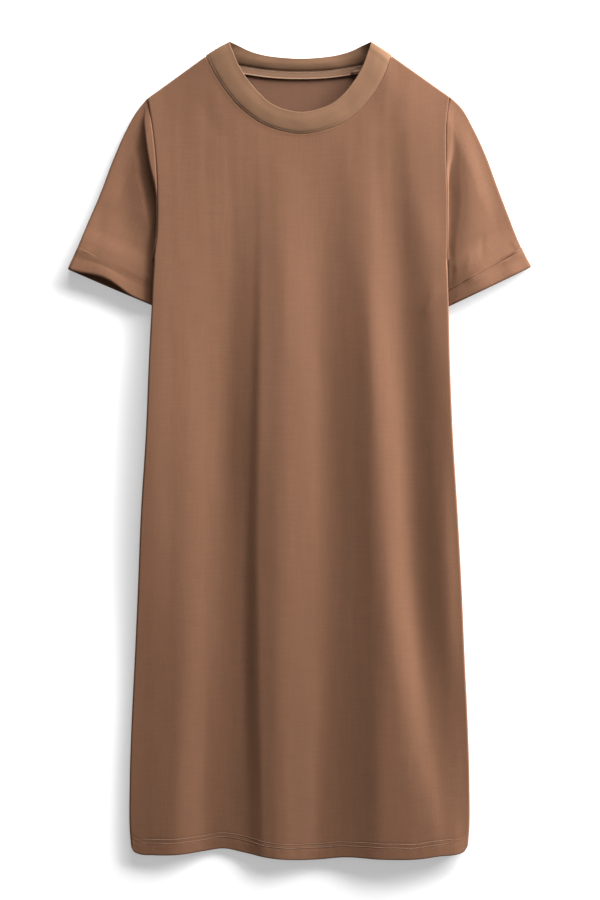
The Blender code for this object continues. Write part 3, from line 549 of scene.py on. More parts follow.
def neck_seam(front):
    """Seam of the band from the wearer's right shoulder to the left one."""
    top = [r[0] for r in NECKBAND].index("shoulder")
    rows = NECKBAND[: top + 1] if front else NECKBAND[top:][::-1]
    return curve([(r[2], r[1]) for r in rows[::-1]] + [(r[3], r[1]) for r in rows[1:]])


# ---------------------------------------------------------------- heights
def tuck_lift(x, y):
    """Lift of the back panel over the tucked sleeves."""
    total = np.zeros_like(x)
    below, lifts = np.transpose(TUCK_LIFT)
    for side, sign in SIDE_SIGN.items():
        ux, uy = UNDERARM[side]
        cx, cy = SLEEVE_INNER_END[side]
        fold_x = ux + (cx - ux) * np.clip((uy - y) / (uy - cy), 0.0, 1.0)
        inside = -sign * (x - fold_x) - TUCK_MARGIN
        amount = hermite(below, lifts, np.clip(uy - y, below[0], below[-1]))
        total = total + np.maximum(amount, 0.0) * (1.0 - smooth(inside / TUCK_FADE))
    return total


def back_height(x, y):
    """Mid-surface height of the back panel away from its folds."""
    return BACK_Z + tuck_lift(x, y)


def front_height(x, y):
    """Mid-surface height of the front panel away from its folds."""
    stations = np.array(STATION_Y[::-1], float)
    xs, zs = (np.stack([hermite(stations, row[col][::-1], y) for row in FOLDS])
              for col in (2, 3))
    kink = xs[[row[0] for row in FOLDS].index("kink")]
    spread = FOLD_SPREAD * (1.0 - 0.8 * bump((x - kink) / KINK_REACH))
    z = 0.4 * fold_height(x, xs, zs)
    for share in (-1.0, -0.5, 0.5, 1.0):
        z = z + 0.15 * fold_height(x + share * spread, xs, zs)
    least = back_height(x, y) + STACK + FRONT_CLEAR
    return (z + least + np.sqrt((z - least) ** 2 + FRONT_SOFT)) / 2


def fold_height(x, xs, zs):
    """Height between the fold lines at xs, whose crests are at zs."""
    z = np.where(x <= xs[0], zs[0], zs[-1])
    for i in range(len(FOLDS) - 1):
        t = np.clip((x - xs[i]) / (xs[i + 1] - xs[i]), 0.0, 1.0)
        ease = smooth(t)
        ease = (ease + FOLDS[i + 1][1] * (t * t - ease)
                + FOLDS[i][1] * (1 - (1 - t) ** 2 - ease))
        inside = (x > xs[i]) & (x <= xs[i + 1])
        z = np.where(inside, zs[i] + (zs[i + 1] - zs[i]) * ease, z)
    return z


def nearest(points, lines):
    """Distance from each point to the nearest of some lines."""
    return np.min([distance_to(points, line) for line in lines], axis=0)


def panel_height(points, front, strength):
    """Mid-surface height of a body panel with its folds, seams and small creases."""
    x = points[..., 0]
    y = points[..., 1]
    top = front_height(x, y)
    low = back_height(x, y)
    seam = (top + low) / 2
    fold = nearest(points, [SIDE[s].xy for s in SIDE_SIGN] + list(SHOULDER.values()))
    share = turn(fold, FRONT_ROLL if front else ROLL)
    arm = nearest(points, [ARMHOLE[s].xy for s in SIDE_SIGN])
    neck = distance_to(points, neck_seam(front).xy)
    calm = smooth(fold / 24.0) * smooth(arm / 16.0) * smooth(neck / 14.0)
    if not front:
        z = seam - SEAM_GAP / 2 - (seam - SEAM_GAP / 2 - low) * share
        return z + calm * creases(x, y, BACK_CREASES, strength)
    z = seam + SEAM_GAP / 2 + (top - seam - SEAM_GAP / 2) * share
    z = z + calm * strength * unevenness(x, y, 0.0)
    z = z + share * creases(x, y, FRONT_CREASES, strength)
    above = smooth((y - UNDERARM["left"][1]) / 12.0)
    return z + dip(arm, SEAM_SINK) * above + neck_dip(neck, x)


# ---------------------------------------------------------------- settings
def length_setting(name, description, default):
    return bpy.props.FloatProperty(
        name=name, description=description, default=default, unit="LENGTH")


def number_setting(name, description, default):
    return bpy.props.FloatProperty(name=name, description=description, default=default)


def colour_setting(name, description, *rgb):
    return bpy.props.FloatVectorProperty(
        name=name, description=description, size=4, default=(*rgb, 1.0), subtype="COLOR",
        min=0.0, max=1.0)


class DressSizes(bpy.types.PropertyGroup):
    """Sizes of the cloth and the sewing."""

    cloth: length_setting("Cloth", "Thickness of the jersey", 0.0010)
    rib: length_setting("Neckband", "Thickness of the doubled rib", 0.0024)
    tape: length_setting("Tape", "Thickness of the neck tape", 0.0008)
    tape_width: length_setting("Tape width", "Width of the neck tape", 0.0100)
    hem_depth: length_setting("Hem depth", "Width of the turned-up hem", 0.0196)
    hem_row: length_setting("Hem row", "Lower hem stitch row, from the hem edge", 0.0146)
    needle_gap: length_setting("Needle gap", "Distance between the two hem stitch rows", 0.0046)
    stitch: length_setting("Stitch", "Length of one stitch", 0.0029)
    thread: length_setting("Thread", "Thickness of the sewing thread", 0.00042)
    crease: bpy.props.FloatProperty(
        name="Creases", description="Strength of the small creases", default=1.0, min=0.0,
        max=2.0, subtype="FACTOR")


class DressColours(bpy.types.PropertyGroup):
    """Colours of the cloth and thread."""

    jersey: colour_setting("Jersey", "Colour of the panels and sleeves", 0.1062, 0.0464, 0.0226)
    # Darker than the jersey: painted shade of the inside of the back, seen down the neck
    # opening.
    inside: colour_setting("Inside", "Colour of the inside of the back", 0.0800, 0.0345, 0.0175)
    rib: colour_setting("Rib", "Colour of the neckband", 0.1230, 0.0615, 0.0312)
    tape: colour_setting("Tape", "Colour of the neck tape", 0.118, 0.0620, 0.0345)
    thread: colour_setting("Thread", "Colour of the sewing thread", 0.175, 0.0950, 0.0560)


class StageSettings(bpy.types.PropertyGroup):
    """Table, light and camera."""

    table: colour_setting("Table", "Colour of the table", 0.56, 0.56, 0.56)
    key: number_setting("Key light", "Power in watts of the low light", 575.0)
    top: number_setting("Second light", "Power in watts of the light beyond the neck", 160.0)
    glow: number_setting("Table glow", "Strength of the light from under the white table", 0.36)
    sky: number_setting("Sky", "Strength of the even light from all round", 0.24)
    lens: number_setting("Lens", "Focal length in millimetres", 85.0)
    camera_height: length_setting("Camera height", "Height of the camera over the table", 2.606)


# ---------------------------------------------------------------- mesh helpers
def new_object(name, data):
    obj = bpy.data.objects.new(name, data)
    bpy.context.scene.collection.objects.link(obj)
    return obj


def grid_object(name, points, uv, ring=False, weld=False):
    """Mesh through a grid of points in mm; uv is in metres for every grid corner. A ring
    is closed both ways."""
    index = np.arange(points[..., 0].size).reshape(points.shape[:2])
    if ring:
        index = np.pad(index, ((0, 1), (0, 1)), mode="wrap")
    quads, corner = (np.stack([a[:-1, :-1], a[:-1, 1:], a[1:, 1:], a[1:, :-1]], axis=2)
                     for a in (index, uv))
    mesh = bpy.data.meshes.new(name)
    mesh.from_pydata((points.reshape(-1, 3) * MM).tolist(), [], quads.reshape(-1, 4).tolist())
    layer = mesh.uv_layers.new(name=UV_NAME)
    layer.data.foreach_set("uv", corner.reshape(-1, 2).astype(np.float32).ravel())
    bm = bmesh.new()
    bm.from_mesh(mesh)
    if weld:
        bmesh.ops.remove_doubles(bm, verts=bm.verts, dist=2e-6)
    bmesh.ops.recalc_face_normals(bm, faces=bm.faces)
    for face in bm.faces:
        face.smooth = True
    bm.to_mesh(mesh)
    bm.free()
    return new_object(name, mesh)


def thicken(obj, thickness):
    """Give an open surface its wall, half to each side."""
    mod = obj.modifiers.new("Wall", "SOLIDIFY")
    mod.thickness = thickness
    mod.offset = 0.0
    mod.use_even_offset = False
    mod.use_quality_normals = True


def place(obj, material, node=None):
    """Finish, body and replaced solid of a piece."""
    obj.data.materials.append(material)
    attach(obj, "root")
    if node:
        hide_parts(node)
    return obj


def grid_normals(points):
    """Unit normals of a grid, rows running up and columns to the right."""
    across = np.gradient(points, axis=1)
    along = np.gradient(points, axis=0)
    normal = np.cross(across, along)
    return normal / np.maximum(np.linalg.norm(normal, axis=-1), 1e-9)[..., None]


# ---------------------------------------------------------------- body panels
def panel_rows(step):
    """Rows of a panel as (fold or armhole, share of it), from the hem to the shoulder."""
    side = SIDE["right"].length
    low = np.array(HEM_STEPS) / side
    up = np.linspace(low[-1], 1.0, int(side / step) + 1)[1:]
    rows = [("side", s) for s in np.concatenate([low, up])]
    arm = ARMHOLE["right"].length
    fine = 1.0 - np.array(FINE_EDGE[::-1]) / arm
    rest = np.linspace(0.0, fine[0], int(arm / step) + 1)[1:-1]
    return rows + [("arm", s) for s in np.concatenate([rest, fine])]


def boundary_point(side, row):
    kind, share = row
    path = SIDE[side] if kind == "side" else ARMHOLE[side]
    return path.at((1.0 - share if kind == "side" else share) * path.length)


def column_shares(width, count):
    """Shares across a panel, close together at both edges."""
    inner = np.linspace(EDGE_STEPS[-1], width - EDGE_STEPS[-1], count - 2 * len(EDGE_STEPS) + 2)
    steps = np.concatenate([EDGE_STEPS[:-1], inner, width - EDGE_STEPS[:-1][::-1]])
    return steps / width


def top_point(neck, s):
    """Top edge of a panel: shoulder, neckline, shoulder."""
    right = SHOULDER["right"]
    left = SHOULDER["left"]
    a = (s / SHOULDER_SHARE)[..., None]
    b = ((s - (1 - SHOULDER_SHARE)) / SHOULDER_SHARE)[..., None]
    mid = neck.at((s - SHOULDER_SHARE) / (1 - 2 * SHOULDER_SHARE) * neck.length)
    out = np.where(a < 1.0, right[0] + (neck.xy[0] - right[0]) * a, mid)
    return np.where(b > 0.0, neck.xy[-1] + (left[0] - neck.xy[-1]) * b, out)


def panel_plan(front, columns, step):
    """Plan positions of a panel's grid: a patch stretched over its four edges."""
    neck = neck_seam(front).moved(NECK_TRIM["front" if front else "back"])
    hem = curve([(SIDE["right"].xy[-1][0], HEM[0][1]), *HEM[1:-1],
                 (SIDE["left"].xy[-1][0], HEM[-1][1])])
    rows = panel_rows(step)
    rights, lefts = (np.array([boundary_point(s, r) for r in rows]) for s in SIDE_SIGN)
    middle = (rights[:, 1] + lefts[:, 1]) / 2
    up = middle - middle[0]
    plan = np.zeros((len(rows), columns, 2))
    for j, t in enumerate(up / (middle[-1] - middle[0])):
        s = column_shares(lefts[j, 0] - rights[j, 0], columns)
        across = s[:, None]
        side, low, high = (a * (1 - across) + b * across for a, b in (
            (rights[j], lefts[j]), (hem.xy[0], hem.xy[-1]),
            (SHOULDER["right"][0], SHOULDER["left"][0])))
        bottom = hem.at(s * hem.length)
        plan[j] = side + (bottom - low) * (1 - t) + (top_point(neck, s) - high) * t
    return plan, up


def pinch_folds(points):
    """Draw the cloth in along the seam line of the side and shoulder folds."""
    x, y, z = (points[..., i] for i in range(3))
    seam = (front_height(x, y) + back_height(x, y)) / 2
    pull = SEAM_PULL * bump((z - seam) / PULL_HEIGHT)
    for side, sign in SIDE_SIGN.items():
        for line, axis, way in ((SIDE[side].xy, 0, sign), (SHOULDER[side], 1, 1.0)):
            near = smooth((PULL_END - distance_to(points[..., :2], line)) / PULL_FADE)
            points[..., axis] -= way * pull * near
    return points


def turned_hem(points, up, depth, inward):
    """Add the turned-up layer of the hem to a panel's grid."""
    count = int(np.searchsorted(up, depth)) + 1
    normal = grid_normals(points) * inward
    inner = points[:count] + normal[:count] * HEM_LAYER
    radius = HEM_LAYER / 2
    down = unit(points[0] - points[1])
    bend = [points[0] + radius * (normal[0] * (1.0 - math.cos(a)) + down * math.sin(a))
            for a in np.linspace(math.pi, 0.0, 7)[1:-1]]
    return np.concatenate([inner[::-1], np.array(bend), points])


def body_panel(node, front, sizes, material):
    """Front or back panel on its own fold heights, with its hem turned up inside."""
    plan, up = panel_plan(front, *PANEL_GRID[node])
    edge_in = (HEM_LAYER + sizes.cloth / MM) / 2 + (0.0 if front else BACK_HEM_IN)
    plan[..., 1] += edge_in * (1.0 - smooth(up / HEM_EASE))[:, None]
    z = panel_height(plan, front, sizes.crease)
    if front:
        x = plan[..., 0]
        run = up[:, None] + edge_in - hem_waver(x) - sizes.hem_row / MM
        z = z + dip(run, STITCH_SINK) + dip(run - sizes.needle_gap / MM, STITCH_SINK)
        puck = np.sin(x / 1.9 + 1.7 * np.sin(x / 11.0)) * np.sin(x / 4.3 + 1.0)
        z = z + HEM_PUCKER * puck * bump((run + 4.0) / 6.0)
    points = pinch_folds(np.concatenate([plan, z[..., None]], axis=-1))
    points = turned_hem(points, up, sizes.hem_depth / MM, -1.0 if front else 1.0)
    obj = grid_object(node + "_cloth", points, points[..., :2] * MM)
    thicken(obj, sizes.cloth)
    return place(obj, material, node)


# ---------------------------------------------------------------- sleeves
def sleeve_profile(out, y, rows, body_top):
    """Height at a distance out from the seam: a cubic through the knots of each row,
    which never swings past them."""
    rows = rows[::-1]
    ys = [r[0] for r in rows]
    count = len(rows[0]) - 1
    knots = [[hermite(ys, [r[k][i] for r in rows], y) for k in range(1, count + 1)]
             for i in range(2)]
    d = [np.zeros_like(out)] + knots[0]
    z = [body_top] + knots[1]
    steps = [(z[k + 1] - z[k]) / (d[k + 1] - d[k]) for k in range(count)]
    slopes = [steps[0]]
    for k in range(1, count):
        a = d[k] - d[k - 1]
        b = d[k + 1] - d[k]
        same = steps[k - 1] * steps[k] > 1e-9
        first, second = (np.where(same, s, 1.0) for s in steps[k - 1 : k + 1])
        mean = 3 * (a + b) / ((a + 2 * b) / first + (2 * a + b) / second)
        slopes.append(np.where(same, mean, 0.0))
    slopes.append(0.5 * steps[-1])
    total = z[-1]
    for k in range(count):
        h = d[k + 1] - d[k]
        t = np.clip((out - d[k]) / h, 0.0, 1.0)
        part = ease_between(t, z[k], z[k + 1], h * slopes[k], h * slopes[k + 1])
        total = np.where((out >= d[k]) & (out <= d[k + 1]), part, total)
    return total


def mouth_shape(share):
    """Share of the arch of a sleeve's mouth at a share of its width from the outer fold."""
    return np.sin(math.pi * np.clip(share * 1.5, 0.0, 1.0)) ** 2


class Sleeve:
    """Laid-out sleeve: rings run from its outer fold to the armhole or inner fold."""

    def __init__(self, side, strength):
        self.side = side
        self.strength = strength
        self.sign = SIDE_SIGN[side]
        col = 0 if side == "right" else 2
        seam = ARMHOLE[side]
        down = seam.run[-1] - seam.run[::-1]
        clear = SLEEVE_CLEAR + 0.3 * smooth((down - 60.0) / 50.0)
        clear = clear + 0.35 * smooth((down - down[-1] + 14.0) / 12.0)
        clear = clear + 0.3 * smooth((8.0 - down) / 8.0)
        self.arm = seam.xy[::-1] + np.column_stack([self.sign * clear, 0 * clear])
        self.arm_length = down[-1]
        self.outer = curve([self.arm[0]] + [r[col : col + 2] for r in SLEEVE_FOLDS[1:]])
        end = np.array(SLEEVE_INNER_END[side], float)
        dive = self.arm[-1] + np.array([-0.4 * self.sign, -FOLD_DIVE])
        self.fold = np.array([self.arm[-1], dive, end])
        self.inner = Path(np.vstack([self.arm, dive, end]), np.concatenate(
            [down, down[-1] + run_along(self.fold)[1:]]))
        self.start = self.outer.xy[-1]
        self.width = np.hypot(*(end - self.start))
        self.mouth = (end - self.start) / self.width
        up = np.array([-self.mouth[1], self.mouth[0]])
        self.up = up if up[1] > 0 else -up

    def from_mouth(self, points):
        """Distance along the mouth from the outer fold, and up the sleeve from it."""
        off = points[..., :2] - self.start
        return (off * self.mouth).sum(-1), (off * self.up).sum(-1)

    def heights(self, points):
        """Mid-surface heights of the upper and lower layers before the folds."""
        x, y = points[..., 0], points[..., 1]
        over = y - UNDERARM[self.side][1]
        along, past = self.from_mouth(points)
        near_cuff = 1.0 - smooth((past - 34.0) / 22.0)
        to_arm = distance_to(points, self.arm)
        to_outer = distance_to(points, self.outer.xy)
        seam_y = np.clip(y, UNDERARM[self.side][1], ARMHOLE[self.side].xy[-1][1])
        arm_x = np.interp(seam_y, self.arm[::-1, 1], self.arm[::-1, 0])
        body_top = front_height(arm_x, seam_y)
        low = BACK_Z + STACK * near_cuff
        low = low + (back_height(arm_x, seam_y) - BACK_Z) * smooth(1.0 - to_arm / 7.0)
        out = np.maximum(0.0, self.sign * (x - arm_x))
        under = SLEEVE_TUCKED_Z + (body_top - SLEEVE_TUCKED_Z) * smooth((over + 5.5) / 25.0)
        top = sleeve_profile(out, y, SLEEVE_PROFILE[self.side], under)
        edge = np.interp(y, *np.transpose(SLEEVE_EDGE_Z[self.side]))
        top = edge + (top - edge) * smooth((to_outer + 4.0) / 30.0) + 0.8 * near_cuff
        share = along / self.width
        gape = (0.8 + 0.2 * smooth(share / 0.3)) * (1.0 - smooth((share - 0.3) / 0.7))
        lift, reach = MOUTH_LIFT[self.side]
        top = top + lift * gape * (1.0 - smooth((past + 4.0) / reach))
        top = top - CUFF_SETTLE[self.side] * smooth((24.0 - past) / 12.0)
        top = np.maximum(top, low + PINCH)
        calm = smooth(to_arm / 14.0) * smooth(to_outer / 16.0) * (1.0 - near_cuff)
        fine = calm * 0.7 * self.strength * unevenness(x, y, 1.0 + self.sign)
        fine = fine + smooth(to_arm / 5.0) * smooth(to_outer / 4.0) * creases(
            x, y, SLEEVE_CREASES[self.side], self.strength)
        top = top + np.maximum(fine * smooth((over + 30.0) / 14.0), low + PINCH - top)
        return top + dip(to_arm, SEAM_SINK) * smooth(over / 12.0), low

    def layer(self, o_dist, i_dist, share, upper):
        """Mid-surface points; share 0 at the outer fold, 1 at the inner side."""
        o = self.outer.at(o_dist)
        p = o + (self.inner.at(i_dist) - o) * share[:, None]
        top, low = self.heights(p)
        below = UNDERARM[self.side][1] - p[:, 1]
        roll_in = ROLL + (SLEEVE_ROLL_IN - ROLL) * smooth(below / 8.0)
        part = np.minimum(turn(distance_to(p, self.outer.xy), SLEEVE_ROLL),
                          turn(distance_to(p, self.fold), roll_in))
        mid = (top + low) / 2
        if not upper:
            return np.column_stack([p, mid - (mid - low) * part])
        arch = MOUTH_ARCH[self.side] * mouth_shape(share) * (
            1.0 - smooth(self.from_mouth(p)[1] / 24.0))
        return np.column_stack([p + self.up * arch[:, None], mid + (top - mid) * part])

    def ring(self, o_dist, i_dist):
        """Points round the tube: upper layer inner to outer, then the lower layer back."""
        width = float(np.hypot(*(self.outer.at(o_dist) - self.inner.at(i_dist))))
        folded = float(smooth((i_dist - self.arm_length + 1.0) / 8.0))
        f = min(1.0, width / 52.0)
        steps = EDGE_STEPS / EDGE_STEPS[-1] / width
        outer = steps * SLEEVE_ROLL * f
        inner = 1.0 - steps * (SLEEVE_ROLL_IN * folded + 6.0 * f * (1 - folded))
        mid = np.linspace(outer[-1], inner[-1], LAYER_POINTS)
        s = np.concatenate([outer[:-1], mid, inner[:-1][::-1]])
        return np.concatenate([self.layer(o_dist, i_dist, s[::-1], True),
                               self.layer(o_dist, i_dist, s[1:], False)])

    def across(self, points):
        """Cloth coordinates in metres: across the sleeve and along it."""
        return np.stack(self.from_mouth(points), axis=-1) * MM


def sleeve_rings(sleeve):
    """Outer and inner distances of the sleeve's rings, close where the fold starts."""
    fold = sleeve.inner.length - sleeve.arm_length
    knots = [(o * sleeve.outer.length, i) for o, i in (
        *RINGS_ARM, (RINGS_UNDERARM, sleeve.arm_length),
        *((o, sleeve.arm_length + share * fold) for o, share in RINGS_FOLD))]
    knots = np.array(knots)
    run = run_along(knots)
    close = run[len(RINGS_ARM)] + np.linspace(-6.0, 14.0, 12)
    t = np.unique(np.concatenate([np.linspace(0.0, run[-1], SLEEVE_RINGS), close]))
    return read_along(knots, run, t)


def sleeve_piece(side, sizes, material):
    sleeve = Sleeve(side, sizes.crease)
    points = np.array([sleeve.ring(o, i) for o, i in sleeve_rings(sleeve)])
    obj = grid_object("sleeve_" + side + "_cloth", points, sleeve.across(points), weld=True)
    thicken(obj, sizes.cloth)
    return place(obj, material, "sleeve_" + side)


def cuff_piece(side, sizes, material):
    """Turned-up band: its section is carried round the sleeve's end."""
    sleeve = Sleeve(side, sizes.crease)
    deep_out, deep_in = CUFF_DEPTH[side]
    end_out, end_in = sleeve.outer.length, sleeve.inner.length
    rows = np.array([(a * deep_out, out) for a, out in CUFF_SECTION])
    loop = np.vstack([rows, rows[:1]])
    chord = run_along(loop)
    t = np.unique(np.concatenate([chord[:-1], np.linspace(0.0, chord[-1], CUFF_ROWS)[:-1],
                                  chord[:10] + 0.25]))
    last, before = (sleeve.ring(end_out - d, end_in - d)[:-1] for d in (0.0, 1.4))
    tangent = unit((last - before) * [1.0, 1.0, 0.0])
    grid = []
    for past, out in read_along(loop, chord, t):
        a = min(0.0, past) / deep_out
        base = sleeve.ring(end_out + a * deep_out, end_in + a * deep_in)[:-1]
        around = np.roll(base, -1, axis=0) - np.roll(base, 1, axis=0)
        normal = unit(np.cross(around, tangent))
        rise = base[:, 2] - base[:, 2].mean()
        if (normal[:, 2] * np.sign(rise)).sum() < 0:
            normal = -normal
        share = np.hypot(*(base[:, :2] - sleeve.outer.at(end_out + a * deep_out)).T)
        lift = sum(h * bump((share / sleeve.width - at) / half)
                   for at, half, h in CUFF_LIFTS[side])
        lift = lift * sizes.crease * smooth((rise + 0.5) / 1.5) * smooth((-a - 0.35) / 0.65)
        if a < -0.9:
            out = out + CUFF_EDGE[side]
        grid.append(base + normal * (out + lift[:, None]) + tangent * max(0.0, past))
    points = np.array(grid)
    uv = sleeve.across(np.pad(points, ((0, 1), (0, 1), (0, 0)), mode="wrap"))
    obj = grid_object("cuff_" + side + "_cloth", points, uv, ring=True)
    return place(obj, material, "cuff_" + side)


# ---------------------------------------------------------------- neckband and tape
def band_rings(samples):
    """Closed seam and free-edge curves of the neckband, mid-surface."""
    seam, edge = [], []
    for row, left in [(r, 1) for r in NECKBAND] + [(r, 0) for r in NECKBAND[-2:0:-1]]:
        x, y = float(row[2 + left]), float(row[1])
        top = float(front_height(np.array(x), np.array(y)))
        seam.append((x, y, BAND_BACK_Z + (top - BAND_BACK_Z) * row[4]))
        edge.append((row[6 + left], row[5], row[8]))
    return closed_curve(seam, samples), closed_curve(edge, samples)


def closed_curve(points, samples):
    """Cubic through a closed row of points; samples per span, chord spaced."""
    p = np.array(points + points[:1], float)
    chord = run_along(p)
    t = np.concatenate([np.linspace(a, b, samples, endpoint=False)
                        for a, b in zip(chord, chord[1:])])
    return np.column_stack([hermite(chord[:-1], v[:-1], t, chord[-1]) for v in p.T])


def band_section(half):
    """Round-edged section of the doubled rib: share across, distance along, distance out.
    It is thinner where it is sewn in, and fullest beside the free edge."""
    seam, edge = 0.62 * half, 0.40 * half
    body = [(s, 0.0, half * float(0.62 + 0.38 * smooth(s / 0.22) - 0.60 * smooth(
        (s - 0.5) / 0.5))) for s in BAND_SHARES]
    rows = [(0.0, seam * (1 - math.cos(r)), seam * math.sin(r))
            for r in np.radians(np.linspace(-90.0, 90.0, 9))] + body
    rows += [(1.0, -edge * (1 - math.cos(r)), edge * math.sin(r))
             for r in np.radians(np.linspace(90.0, -90.0, 13))]
    return rows + [(s, 0.0, -thick) for s, _, thick in body[::-1]]


def neckband_piece(sizes, material):
    """Doubled rib: its section is carried round the neck from the seam to the free edge."""
    seam, edge = band_rings(BAND_SAMPLES)
    width = np.linalg.norm(edge - seam, axis=1)[:, None]
    across = (edge - seam) / width
    mid = (seam + edge) / 2
    normal = unit(np.cross(np.roll(mid, -1, axis=0) - np.roll(mid, 1, axis=0), across))
    run = run_along(np.vstack([mid, mid[:1]]))
    wave = 0.14 * np.sin(run[:-1] / 13.0) + 0.10 * np.sin(run[:-1] / 6.1 + 1.0)
    at_back = smooth((3.0 - np.minimum(seam[:, 2], 3.0)) / 1.4)[:, None]
    rim_here = smooth((60.0 - seam[:, 0]) / 60.0) * smooth((474.0 - seam[:, 1]) / 12.0)
    rows, uv = [], []
    for share, extra, out in band_section(sizes.rib / MM / 2):
        ripple = wave * math.sin(math.pi * share)
        if out > 0.0:
            ripple = ripple - RIM_STEP * (1.0 - smooth((share - 0.1) / 0.021)) * rim_here
        row = seam + across * (width * share + extra) + normal * (out + ripple)[:, None]
        rows.append(row + at_back * [0.0, 0.0, BAND_CROWN * math.sin(math.pi * share**0.6)])
        uv.append(np.column_stack([run, np.full(len(run), share * 20.0 + extra)]) * MM)
    obj = grid_object("neckband_rib", np.array(rows), np.array(uv + uv[:1]), ring=True)
    return place(obj, material, "neckband")


def rim_line(sizes):
    """Points and normals of the row of stitches on the band's sewn rim."""
    seam, edge = band_rings(RIM_SAMPLES)
    lower = (seam[:, 1] < 478.0) & (seam[:, 2] > 4.0)
    order = np.argsort(-seam[lower][:, 0], kind="stable")
    across = (edge - seam)[lower][order]
    base = seam[lower][order] + RIM_ROW * across
    normal = unit(np.cross(np.gradient(base, axis=0), across))
    normal *= np.sign(normal[:, 2:])
    return base + normal * (0.68 * sizes.rib / MM / 2 - RIM_STEP), normal


def tape_line(sizes, out, count, span):
    """Points on the neck tape, out mm below the back neck seam."""
    path = neck_seam(False)
    centre = path.at(np.linspace(*span, count) * path.length)
    ahead = np.gradient(centre, axis=0)
    down = unit(np.column_stack([ahead[:, 1], -ahead[:, 0]]))
    share = (out - TAPE_FROM) * MM / sizes.tape_width
    curl = 0.55 * bump((share - 1.0) / 0.12) - 0.18 * (
        bump((share - 0.86) / 0.06) + bump((share - 0.12) / 0.06))
    z = BACK_Z + STACK / 2 + TAPE_OVER + curl
    return np.column_stack([centre + down * out, np.full(count, z)])


def tape_piece(sizes, material):
    """Flat tape over the back neck seam, inside the dress."""
    outs = TAPE_FROM + sizes.tape_width / MM * np.array(TAPE_SHARES)
    points = np.array([tape_line(sizes, out, TAPE_COLUMNS, TAPE_SPAN) for out in outs])
    run = run_along(points[0])
    uv = np.stack([np.column_stack([run, np.full(len(run), out)]) for out in outs]) * MM
    obj = grid_object("neck_tape_cloth", points, uv)
    thicken(obj, sizes.tape)
    return place(obj, material, "neck_tape")


# ---------------------------------------------------------------- stitches and seam end
STITCH_STATIONS = ((0.0, -0.6, 0.45), (0.18, 0.25, 0.9), (0.5, 0.5, 1.0), (0.82, 0.25, 0.9),
                   (1.0, -0.6, 0.45))   # share along, height and radius in thread radii
STITCH_SIDES = 6
STITCH_SHARE = 0.84   # length of a thread as a share of the pitch
# Left seam end: where it starts; share along, lift and half width of each row.
SEAM_END_AT = (63.2, 461.2)
SEAM_END = ((0.0, 2.6, 1.6), (0.2, 3.6, 2.2), (0.45, 4.3, 2.4), (0.7, 4.2, 2.3),
            (0.9, 3.4, 2.0), (1.0, 2.8, 1.7))


def stitch_rows(name, rows, sizes, material):
    """Rows of short threads lying on (points, normals) lines, as one mesh."""
    radius = sizes.thread / MM / 2
    pitch = sizes.stitch / MM
    angles = np.linspace(0.0, 2 * math.pi, STITCH_SIDES, endpoint=False)
    verts, faces = [], []
    for points, normals in rows:
        run = run_along(points)
        for start in np.arange(0.3 * pitch, run[-1] - pitch, pitch):
            first = len(verts)
            ends = read_along(points, run, np.array([start, start + STITCH_SHARE * pitch]))
            up = unit(read_along(normals, run, start + STITCH_SHARE / 2 * pitch))
            along = ends[1] - ends[0]
            side = unit(np.cross(along, up))
            for share, height, width in STITCH_STATIONS:
                centre = ends[0] + along * share + up * height * radius
                verts += [centre + (side * math.cos(a) + up * math.sin(a)) * radius * width
                          for a in angles]
            for k in range(first, len(verts) - STITCH_SIDES, STITCH_SIDES):
                for i in range(STITCH_SIDES):
                    a, b = k + i, k + (i + 1) % STITCH_SIDES
                    faces.append((a, b, b + STITCH_SIDES, a + STITCH_SIDES))
            faces.append(tuple(range(first + STITCH_SIDES - 1, first - 1, -1)))
            faces.append(tuple(range(len(verts) - STITCH_SIDES, len(verts))))
    mesh = bpy.data.meshes.new(name)
    mesh.from_pydata((np.array(verts) * MM).tolist(), [], faces)
    for poly in mesh.polygons:
        poly.use_smooth = True
    return place(new_object(name, mesh), material)


def on_front(xy, lift, strength):
    """Points lifted off the front panel's mid-surface, and the normals there."""
    step = 0.4
    z, zx, zy = (panel_height(xy + move, True, strength)
                 for move in ([0.0, 0.0], [step, 0.0], [0.0, step]))
    normal = unit(np.column_stack([(z - zx) / step, (z - zy) / step, np.ones(len(xy))]))
    return np.column_stack([xy, z]) + normal * lift, normal


def hem_waver(x):
    """Sideways wander of the hem stitching."""
    return 0.35 * np.sin(x / 14.0 + 0.6) + 0.2 * np.sin(x / 5.9)


def hem_line(distance):
    """Plan line at a distance in from the hem edge of the front."""
    line = curve(HEM[2:-2]).moved(-distance)
    points = line.at(np.linspace(0.0, line.length, LINE_POINTS))
    return points + np.column_stack([0.0 * points[:, 0], hem_waver(points[:, 0])])


def seam_end_piece(sizes, material):
    """End of the left shoulder seam allowance, caught under the end of the tape."""
    across = np.linspace(-1.0, 1.0, 9)
    x, y = SEAM_END_AT
    points = np.array([np.column_stack([
        x + 15.0 * share - 0.25 * half * across, y + 2.2 * share + half * across,
        BACK_Z + lift + 0.5 * (1.0 - across**2) + 0.2 * np.sin(5.0 * across)])
        for share, lift, half in SEAM_END])
    obj = grid_object("seam_end_cloth", points, points[..., :2] * MM)
    thicken(obj, sizes.tape)
    return place(obj, material)


# ---------------------------------------------------------------- materials
# Noises of the yarn: waves per metre across and along the cloth, then the detail.
FUZZ = (1900.0, 1500.0, 1.0)
FLECK = (620.0, 480.0)
STREAK = (360.0, 22.0)
COURSE = (34.0, 420.0)
PATCH = (11.0, 7.0, 3.0)
SMEAR = (14.0, 160.0)
LOOP_ROWS = 7.9       # rows of loops, as an angle for each column width run
LOOP_SLANT = 2.4      # how far a loop leans
RIB_ROWS = 7000.0     # rows of loops across the rib, as an angle per metre
RELIEF = 0.0002       # depth of the knit's relief in metres


